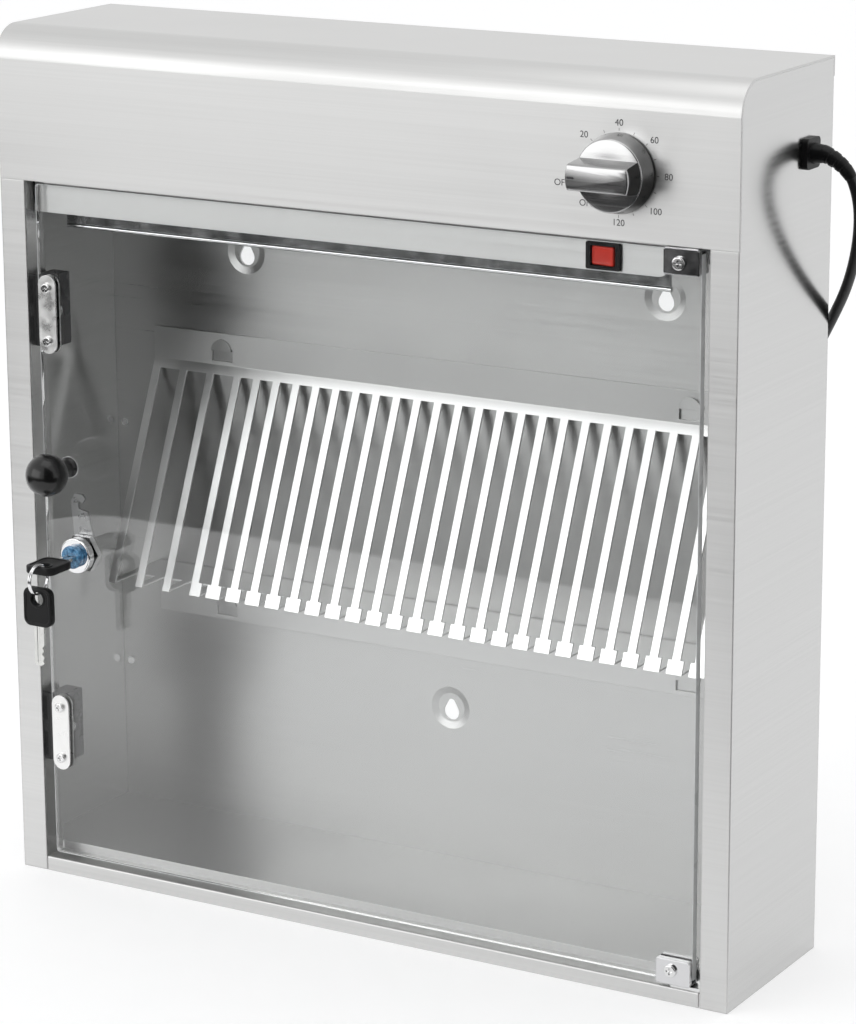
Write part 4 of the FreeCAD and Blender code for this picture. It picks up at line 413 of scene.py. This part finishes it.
def loft(shape, rings, closed=False):
    """Joins rings of as many points each into a skin, with its ends filled or, if closed, joined as well."""
    rows = [[shape.verts.new(point) for point in points] for points in rings]
    pairs = list(zip(rows, rows[1:]))
    if closed:
        pairs.append((rows[-1], rows[0]))
    else:
        shape.faces.new(rows[0])
        shape.faces.new(rows[-1])
    count = len(rows[0])
    for low, high in pairs:
        for number in range(count):
            after = (number + 1) % count
            shape.faces.new((low[number], low[after], high[after], high[number]))


def turned(profile, x, y, z, steps=72):
    """Rings about a line that runs to the front: pairs of radius and distance to the front of y."""
    turns = [2 * math.pi * number / steps for number in range(steps)]
    return [
        ring([(x + radius * math.cos(turn), y - reach, z + radius * math.sin(turn)) for turn in turns])
        for radius, reach in profile
    ]


def round_corners(width, height, corner, steps=6):
    """The outline of a rectangle with round corners, about its centre."""
    points = []
    for number, (side, level) in enumerate(((1, 1), (-1, 1), (-1, -1), (1, -1))):
        for step in range(steps + 1):
            turn = math.radians(90 * (number + step / steps))
            points.append((
                side * (width / 2 - corner) + corner * math.cos(turn),
                level * (height / 2 - corner) + corner * math.sin(turn),
            ))
    return points


def piece(name, shape, material, body, replaces=(), sharp=32):
    """Makes an object of the shape, which moves with the body; edges over sharp degrees stay sharp."""
    bmesh.ops.recalc_face_normals(shape, faces=shape.faces)
    mesh = bpy.data.meshes.new(name)
    shape.to_mesh(mesh)
    shape.free()
    mesh.shade_smooth()
    mesh.set_sharp_from_angle(angle=math.radians(sharp))
    mesh.materials.append(MATERIALS[material])
    made = bpy.data.objects.new(name, mesh)
    bpy.context.scene.collection.objects.link(made)
    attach(made, body)
    if replaces:
        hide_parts(*replaces)
    return made


# Timer knob: its centre at the back, and pairs of radius and distance to the front
KNOB = (179, -61.8, 493.5)
KNOB_TURNED = [
    (22.9, 0), (23.2, 0.3), (23.2, 0.9), (23.0, 1.3), (21.1, 11.2), (20.9, 11.6), (20.6, 11.9), (20.3, 12.0),
    (10, 12.0), (1, 12.0),
]
# Distance to the front, half height and end radius of the grip bar
KNOB_BAR = [(11.5, 9.3, 20.6), (24.0, 7.7, 20.3), (26.0, 7.2, 20.1), (26.6, 6.9, 19.7), (26.8, 6.4, 19.2)]
BAR_STEPS = 8
DASH_WIDTH = 4.6
DASH_HEIGHT = 1.3
DASH_CORNER = 0.6
DASH_LEFT_OF_CENTRE = 16.4
DASH_REACHES = (26.6, 26.86)


def timer_knob():
    """The timer's knob: a turned drum with a grip bar across it, and its printed dash."""
    shape = bmesh.new()
    loft(shape, turned(KNOB_TURNED, *KNOB, steps=96))
    rings = []
    for reach, half, radius in KNOB_BAR:
        end = math.sqrt(radius * radius - half * half)
        points = []
        for side in (1, -1):
            for step in range(BAR_STEPS + 1):
                level = half * side * (1 - 2 * step / BAR_STEPS)
                points.append((side * math.sqrt(radius * radius - level * level), level))
            for step in range(1, BAR_STEPS):
                points.append((-side * end * (2 * step / BAR_STEPS - 1), -side * half))
        rings.append(ring([(KNOB[0] + u, KNOB[1] - reach, KNOB[2] + v) for u, v in points]))
    loft(shape, rings)
    piece("turned_knob", shape, "knob_metal", "timer_dial", replaces=["timer_knob"])
    shape = bmesh.new()
    dash = [(KNOB[0] - DASH_LEFT_OF_CENTRE + u, KNOB[2] + v)
            for u, v in round_corners(DASH_WIDTH, DASH_HEIGHT, DASH_CORNER, 3)]
    loft(shape, [ring([(x, KNOB[1] - reach, z) for x, z in dash]) for reach in DASH_REACHES])
    piece("knob_dash", shape, "dial_ink", "timer_dial")


# Door knob: its seat on the pane, its ball and its stem's pairs of radius and distance to the front
BALL = (-210.5, -60, 274)
BALL_REACH = 23
BALL_RADIUS = 13.5
STEM = [(6.2, 0), (6.4, 0.5), (5.7, 1.4), (5.1, 3), (5.0, 6), (5.1, 8.6)]
STEM_END_RADIUS = 5.6
BALL_END_DEGREES = 178
BALL_STEPS = 24


def ball_knob():
    """The door's black ball knob."""
    profile = list(STEM)
    start = math.asin(STEM_END_RADIUS / BALL_RADIUS)
    for step in range(BALL_STEPS + 1):
        turn = start + (math.radians(BALL_END_DEGREES) - start) * step / BALL_STEPS
        profile.append((BALL_RADIUS * math.sin(turn), BALL_REACH - BALL_RADIUS * math.cos(turn)))
    shape = bmesh.new()
    loft(shape, turned(profile, *BALL))
    piece("ball_knob", shape, "black_gloss", "door", replaces=["door_knob"])


# Keys: the head lies behind the blade's shoulder, which is at 0
HEAD_WIDTH = 21
HEAD_LENGTH = 25
HEAD_CORNER = 5
HOLE_RADIUS = 4.5
HOLE_WEB = 2.6
HOLE_LEVEL = -HEAD_LENGTH + HOLE_WEB + HOLE_RADIUS
HEAD_SIDES = 96
RIM_HALVINGS = 30
# Where a key head's skin turns, from its rim or from its hole, and how high
HEAD_SKIN = [
    ("rim", 0, 1.7), ("rim", 0.25, 2.25), ("rim", 0.8, 2.5), ("rim", 2.0, 2.5), ("rim", 2.5, 2.0),
    ("hole", 1.5, 2.0), ("hole", 1.2, 2.45), ("hole", 0.3, 2.45), ("hole", 0, 2.1),
]


def head_rim(turn):
    """How far a key head's outline lies from its hole's centre in that direction."""
    near, far = 0.0, HEAD_LENGTH
    for _ in range(RIM_HALVINGS):
        reach = (near + far) / 2
        across = abs(reach * math.cos(turn)) - (HEAD_WIDTH / 2 - HEAD_CORNER)
        up = abs(reach * math.sin(turn) + HOLE_LEVEL + HEAD_LENGTH / 2) - (HEAD_LENGTH / 2 - HEAD_CORNER)
        gap = math.hypot(max(across, 0), max(up, 0)) + min(max(across, up), 0) - HEAD_CORNER
        near, far = (reach, far) if gap < 0 else (near, reach)
    return near


def key_head(name, matrix, body, node):
    """A moulded head with soft edges, a raised rim and a hole for the ring."""
    turns = [2 * math.pi * number / HEAD_SIDES for number in range(HEAD_SIDES)]
    skin = HEAD_SKIN + [(start, inset, -height) for start, inset, height in reversed(HEAD_SKIN)]
    rings = []
    for start, inset, height in skin:
        points = []
        for turn in turns:
            reach = head_rim(turn) - inset if start == "rim" else HOLE_RADIUS + inset
            points.append((reach * math.cos(turn), reach * math.sin(turn) + HOLE_LEVEL, height))
        rings.append(ring(points, matrix))
    shape = bmesh.new()
    loft(shape, rings, closed=True)
    piece(name, shape, "black_moulded", body, replaces=[node])


# Along a key's blade: the distance from its shoulder, and how deep its edge is cut there
BLADE_CUTS = [
    (0, 0), (8, 0), (12, 0), (13.6, 1.4), (14.4, 1.4), (16, 0.3), (17.5, 2.0), (18.5, 2.0), (20, 0.5),
    (21.4, 1.2), (22.4, 1.2), (23.6, 0.4), (25, 1.4), (26, 3.0),
]
BLADE_HALF_WIDTH = 4.0
BLADE_HALF_SHEET = 1.1
BLADE_EDGE = 0.25
GROOVE_DEPTH = 0.4
POINT_START = 24.5
POINT_THIN_FROM = 25.5
POINT_HALF_SHEET = 0.8


def key_blade(name, matrix, body, node):
    """A blade with cuts on one edge, a groove on both sides and a chamfered point."""
    rings = []
    for along, deep in BLADE_CUTS:
        low = -BLADE_HALF_WIDTH + max(0, along - POINT_START)
        high = BLADE_HALF_WIDTH - deep
        sheet = BLADE_HALF_SHEET if along < POINT_THIN_FROM else POINT_HALF_SHEET
        edge, floor = sheet - BLADE_EDGE, sheet - GROOVE_DEPTH
        upper = [(low, edge), (low + BLADE_EDGE, sheet), (-1.6, sheet), (-1.3, floor), (0.1, floor),
                 (0.4, sheet), (max(high - BLADE_EDGE, 0.5), sheet), (max(high, 0.7), edge)]
        lower = [(u, -w) for u, w in reversed(upper)]
        rings.append(ring([(u, along, w) for u, w in upper + lower], matrix))
    shape = bmesh.new()
    loft(shape, rings)
    piece(name, shape, "key_metal", body, replaces=[node], sharp=25)


# Where the lock, its key's shoulder, the ring and the top of the spare key lie
LOCK_X = -205
LOCK_Z = 217.5
KEY_SHOULDER = -79.3
RING_Y = -103.0
RING_Z = 211.8
RING_RADIUS = 9.3
RING_WIRE_RADIUS = 0.66
RING_HALF_PITCH = 0.7
RING_TURNS = 2
RING_STEPS = 120
SPARE_TOP = 206.7


def keys():
    """The key in the lock, the spare key that hangs below it and the split ring through both."""
    level = Matrix.Translation(Vector((LOCK_X, KEY_SHOULDER, LOCK_Z)) * MM)
    below = Matrix.Translation(Vector((LOCK_X, RING_Y, SPARE_TOP - HEAD_LENGTH)) * MM)
    hanging = below @ Matrix.Rotation(-math.pi / 2, 4, "X")
    key_blade("cut_blade", level, "key", "key_blade")
    key_head("moulded_head", level, "key", "key_head")
    key_blade("spare_cut_blade", hanging, "spare_key", "spare_key_blade")
    key_head("spare_moulded_head", hanging, "spare_key", "spare_key_head")
    data = bpy.data.curves.new("split_ring", "CURVE")
    data.dimensions = "3D"
    data.bevel_depth = RING_WIRE_RADIUS * MM
    data.bevel_resolution = 4
    data.use_fill_caps = True
    spline = data.splines.new("POLY")
    spline.points.add(RING_STEPS)
    for number, point in enumerate(spline.points):
        turn = 2 * math.pi * RING_TURNS * number / RING_STEPS
        # the wire runs flat and crosses over to its second turn in the middle
        side = RING_HALF_PITCH * math.tanh(3 * (2 * number / RING_STEPS - 1))
        round_y = RING_Y + RING_RADIUS * math.cos(turn)
        round_z = RING_Z + RING_RADIUS * math.sin(turn)
        point.co = (*(Vector((LOCK_X + side, round_y, round_z)) * MM), 1)
    data.materials.append(MATERIALS["chrome"])
    made = bpy.data.objects.new("split_ring", data)
    bpy.context.scene.collection.objects.link(made)
    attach(made, "ring")
    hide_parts("key_ring")


ROCKER = (166, -49.3, 443.6)
ROCKER_TILT = 7
ROCKER_WIDTH = 15
ROCKER_HEIGHT = 11
# Distance to the front and inset of the rocker's skin
ROCKER_SKIN = [(0, 0.3), (0.3, 0), (2.7, 0), (3.1, 0.15), (3.35, 0.5), (3.4, 0.9), (3.2, 1.5), (3.1, 2.2)]


def rocker():
    """The switch's lit red rocker, tilted on its pips."""
    tilt = Matrix.Translation(Vector(ROCKER) * MM) @ Matrix.Rotation(math.radians(-ROCKER_TILT), 4, "Z")
    rings = []
    for reach, inset in ROCKER_SKIN:
        outline = round_corners(ROCKER_WIDTH - 2 * inset, ROCKER_HEIGHT - 2 * inset, 1.0, 4)
        rings.append(ring([(u, -reach, v) for u, v in outline], tilt))
    shape = bmesh.new()
    loft(shape, rings)
    piece("lit_rocker", shape, "red_lens", "switch", replaces=["switch_rocker"], sharp=50)


# Distance along the mains lead and outer radius of its sleeve
SLEEVE = [
    (-2, 5.0), (0, 5.15), (3, 5.0), (3.4, 4.5), (4.6, 4.5), (5, 4.85), (8, 4.65), (8.4, 4.2), (9.6, 4.2),
    (10, 4.5), (13, 4.3), (13.4, 3.95), (14.6, 3.95), (15, 4.15), (19, 3.8), (20.6, 3.6), (21, 3.35),
]
SLEEVE_WALK_STEPS = 200
SLEEVE_SIDES = 32


def lead_sleeve():
    """A tapered, ribbed sleeve round the lead where it leaves the cabinet."""
    start, bend, after = (Vector(point) for point in LEAD_ROUTE_MM[:3])
    end = (bend + after) / 2
    walk = []
    for step in range(SLEEVE_WALK_STEPS + 1):
        t = step / SLEEVE_WALK_STEPS
        point = start * (1 - t) ** 2 + bend * 2 * t * (1 - t) + end * t * t
        heading = ((bend - start) * (1 - t) + (end - bend) * t).normalized()
        gone = walk[-1][0] + (point - walk[-1][1]).length if walk else 0
        walk.append((gone, point, heading))
    shape = bmesh.new()
    rings = []
    turns = [2 * math.pi * number / SLEEVE_SIDES for number in range(SLEEVE_SIDES)]
    for along, radius in SLEEVE:
        _, point, heading = min(walk, key=lambda spot: abs(spot[0] - along))
        if along < 0:
            point = point + heading * along
        side = heading.cross(Vector((0, 1, 0))).normalized()
        other = heading.cross(side)
        spokes = [side * math.cos(turn) + other * math.sin(turn) for turn in turns]
        rings.append(ring([point + spoke * radius for spoke in spokes]))
    loft(shape, rings)
    piece("lead_sleeve", shape, "black_moulded", "cabinet")


# Door pane: left, right, low and high edges, then depths and sizes of its polished edges
PANE = (-230, 231, 13.3, 453.2)
PANE_CORNER = 2.0
PANE_MIDDLE_Y = -56.5
# The front edge's tube is a painted highlight: pale and opaque where the real edge is clear.
ARRIS_Y = -59
ARRIS_RADIUS = 0.2
ARRIS_INSET = 0.15
SIDE_WIDTH = 4.6
SIDE_CORNER = 0.8
SIDE_THICKNESS = 0.08


def pane_edges():
    """The door's clear pane: a pale opaque tube on its front edge, a painted highlight of the polished edge,
    and a pale strip on the satin face of its hinge side, frosted and partly painted light.
    """
    left, right, low, high = PANE
    centre_x, centre_z = (left + right) / 2, (low + high) / 2
    outline = round_corners(right - left - 2 * ARRIS_INSET, high - low - 2 * ARRIS_INSET, PANE_CORNER)
    data = bpy.data.curves.new("front_arris_painted_highlight", "CURVE")
    data.dimensions = "3D"
    data.bevel_depth = ARRIS_RADIUS * MM
    data.bevel_resolution = 2
    spline = data.splines.new("POLY")
    spline.points.add(len(outline) - 1)
    for point, (u, v) in zip(spline.points, outline):
        point.co = (*(Vector((centre_x + u, ARRIS_Y, centre_z + v)) * MM), 1)
    spline.use_cyclic_u = True
    data.materials.append(MATERIALS["polished_arris_painted_highlight"])
    made = bpy.data.objects.new("front_arris_painted_highlight", data)
    bpy.context.scene.collection.objects.link(made)
    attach(made, "door")
    shape = bmesh.new()
    outline = [(PANE_MIDDLE_Y + u, centre_z + v)
               for u, v in round_corners(SIDE_WIDTH, high - low - 2 * PANE_CORNER, SIDE_CORNER, 3)]
    loft(shape, [ring([(x, y, z) for y, z in outline]) for x in (right, right + SIDE_THICKNESS)])
    # The strip's pale colour is partly the frosted edge's own and partly painted light against the gap's shade.
    piece("side_arris_and_painted_light", shape, "satin_edge_and_painted_light", "door")


# Dial

DIAL_CENTRE = Vector((0.179, -0.061, 0.4935))
# Each text with its place right of the dial's centre and above it
DIAL_TEXTS = [
    ("OFF", -0.0367, -0.0085), ("20", -0.0223, 0.0202), ("40", 0, 0.0285), ("60", 0.0223, 0.0202),
    ("80", 0.0315, 0), ("100", 0.0234, -0.0202), ("120", 0, -0.0285), ("ON", -0.0209, -0.019),
]
DIAL_TEXT_SIZE = 0.0054
DIAL_INK = 0.00003
DIAL_TICK_RADIUS = 0.0248
DIAL_TICKS = 13
DIAL_TICK_DEGREES = 22.5
DIAL_TICK_SIZE = (0.0016, 0.00006, 0.00028, 1)


def dial():
    """Printed numbers and marks round the timer's knob."""
    for text, right, up in DIAL_TEXTS:
        data = bpy.data.curves.new("dial_" + text, "FONT")
        data.body = text
        data.size = DIAL_TEXT_SIZE
        data.align_x = "CENTER"
        data.align_y = "CENTER"
        data.extrude = DIAL_INK
        data.materials.append(MATERIALS["dial_ink"])
        written = bpy.data.objects.new("dial_" + text, data)
        bpy.context.scene.collection.objects.link(written)
        written.location = DIAL_CENTRE + Vector((right, -DIAL_INK, up))
        written.rotation_euler = (math.radians(90), 0, 0)
        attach(written, "cabinet")
    mesh = bpy.data.meshes.new("dial_marks")
    shape = bmesh.new()
    outwards = Matrix.Translation((DIAL_TICK_RADIUS, 0, 0)) @ Matrix.Diagonal(DIAL_TICK_SIZE)
    for number in range(DIAL_TICKS):
        turn = math.radians(180 - DIAL_TICK_DEGREES * number)
        middle = Matrix.Translation(DIAL_CENTRE) @ Matrix.Rotation(-turn, 4, "Y")
        bmesh.ops.create_cube(shape, size=1, matrix=middle @ outwards)
    shape.to_mesh(mesh)
    shape.free()
    marks = bpy.data.objects.new("dial_marks", mesh)
    bpy.context.scene.collection.objects.link(marks)
    mesh.materials.append(MATERIALS["dial_ink"])
    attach(marks, "cabinet")


# Studio

TABLE_LEFT = -0.76
TABLE_FRONT = -0.81
TABLE_REACH = 7
TABLE_CORNER = 0.06
TABLE_CORNER_STEPS = 8
FLOOR_DARK = (0.6, 0.6, 0.6)
FLOOR_LIGHT = (0.64, 0.64, 0.64)
FLOOR_GLOW = 0.47
ROOM_REACH = 9
ROOM_LEVEL = -0.8
AROUND_COLOUR = (0.985, 0.99, 1.0, 1)
AROUND_STRENGTH = 0.8
WHITE = (1, 1, 1, 1)
BLACK_DARK = (0.02, 0.02, 0.02)
BLACK_LIGHT = (0.04, 0.04, 0.04)
# Black cards beside the object's front right, for the metal's mirror images only: one laid down, one upright
DARK_CARDS = {
    "laid_card": [(0.34, -0.063, 0.001), (-0.05, -0.87, 0.001), (3, -0.87, 0.001), (3, -0.063, 0.001)],
    "upright_card": [(0.1, -1.0, 0), (2.6, -1.0, 0), (2.6, -1.0, 1.7), (0.1, -1.0, 1.7)],
}


def stand_in(name, corners, material):
    """A flat piece of the studio's scenery."""
    mesh = bpy.data.meshes.new(name)
    mesh.from_pydata(corners, [], [tuple(range(len(corners)))])
    made = bpy.data.objects.new(name, mesh)
    bpy.context.scene.collection.objects.link(made)
    mesh.materials.append(material)
    return made


def sight(tree):
    """1 for the rays that look at things: from the camera, off metal and through glass."""
    path = tree.nodes.new("ShaderNodeLightPath")
    seen = path.outputs["Is Camera Ray"]
    for name in ("Is Glossy Ray", "Is Transmission Ray"):
        either = tree.nodes.new("ShaderNodeMath")
        either.operation = "MAXIMUM"
        tree.links.new(seen, either.inputs[0])
        tree.links.new(path.outputs[name], either.inputs[1])
        seen = either.outputs[0]
    return seen


def ground():
    """A pale table whose front edge mirrors in the door, a dark room floor beyond it, and the black cards."""
    n = Nodes("floor")
    n.link(n.blend(n.noise(40), FLOOR_DARK, FLOOR_LIGHT), n.shader.inputs["Base Color"])
    n.set(Roughness=0.85)
    glow = n.add("ShaderNodeEmission")
    glow.inputs["Color"].default_value = WHITE
    glow.inputs["Strength"].default_value = FLOOR_GLOW
    lit = n.add("ShaderNodeAddShader")
    mix = n.add("ShaderNodeMixShader")
    n.link(n.shader.outputs["BSDF"], lit.inputs[0])
    n.link(glow.outputs["Emission"], lit.inputs[1])
    n.link(sight(n.tree), mix.inputs["Fac"])
    n.link(n.shader.outputs["BSDF"], mix.inputs[1])
    n.link(lit.outputs["Shader"], mix.inputs[2])
    n.link(mix.outputs["Shader"], n.tree.nodes["Material Output"].inputs["Surface"])
    corners = [
        (TABLE_REACH, TABLE_FRONT, 0), (TABLE_REACH, TABLE_REACH, 0), (-TABLE_REACH, TABLE_REACH, 0),
        (-TABLE_REACH, 0, 0), (TABLE_LEFT, 0, 0),
    ]
    for step in range(TABLE_CORNER_STEPS + 1):
        turn = math.radians(180 + 90 * step / TABLE_CORNER_STEPS)
        corner_x = TABLE_LEFT + TABLE_CORNER * (1 + math.cos(turn))
        corner_y = TABLE_FRONT + TABLE_CORNER * (1 + math.sin(turn))
        corners.append((corner_x, corner_y, 0))
    stand_in("floor", corners, n.material)
    dark = dark_paper()
    room = stand_in("room_floor", [
        (ROOM_REACH, -ROOM_REACH, ROOM_LEVEL), (ROOM_REACH, 0, ROOM_LEVEL),
        (-ROOM_REACH, 0, ROOM_LEVEL), (-ROOM_REACH, -ROOM_REACH, ROOM_LEVEL),
    ], dark)
    room.visible_camera = False
    for name, corners in DARK_CARDS.items():
        card = stand_in(name, corners, dark)
        card.visible_camera = False
        card.visible_diffuse = False
        card.visible_transmission = False
        card.visible_shadow = False


def dark_paper():
    """Dull black paper."""
    n = Nodes("dark_paper")
    n.link(n.blend(n.noise(20), BLACK_DARK, BLACK_LIGHT), n.shader.inputs["Base Color"])
    n.set(Roughness=0.9, Specular_IOR_Level=0.0)
    return n.material


def softbox(name, place, aim, width, height, power):
    """A rectangular lamp that faces the point it is aimed at."""
    data = bpy.data.lights.new(name, "AREA")
    data.shape = "RECTANGLE"
    data.size = width
    data.size_y = height
    data.energy = power
    lamp = bpy.data.objects.new(name, data)
    bpy.context.scene.collection.objects.link(lamp)
    lamp.location = place
    lamp.rotation_euler = (Vector(aim) - Vector(place)).to_track_quat("-Z", "Y").to_euler()


def studio():
    """Even light from all round, white to look at, with softboxes at the front left and above."""
    world = bpy.data.worlds.new("studio")
    world.use_nodes = True
    bpy.context.scene.world = world
    tree = world.node_tree
    around = tree.nodes["Background"]
    around.inputs["Color"].default_value = AROUND_COLOUR
    around.inputs["Strength"].default_value = AROUND_STRENGTH
    white = tree.nodes.new("ShaderNodeBackground")
    white.inputs["Color"].default_value = WHITE
    mix = tree.nodes.new("ShaderNodeMixShader")
    tree.links.new(sight(tree), mix.inputs["Fac"])
    tree.links.new(around.outputs["Background"], mix.inputs[1])
    tree.links.new(white.outputs["Background"], mix.inputs[2])
    tree.links.new(mix.outputs["Shader"], tree.nodes["World Output"].inputs["Surface"])
    softbox("front_box", place=(-1.2, -1.9, 0.85), aim=(0, 0, 0.45), width=2.0, height=1.3, power=12)
    softbox("top_box", place=(0, -0.3, 2.4), aim=(0, 0, 0.5), width=1.6, height=1.6, power=6)


camera()
dress_frame()
mains_lead()
lead_sleeve()
timer_knob()
ball_knob()
keys()
rocker()
pane_edges()
dial()
ground()
studio()
bpy.context.scene.view_settings.view_transform = "Standard"
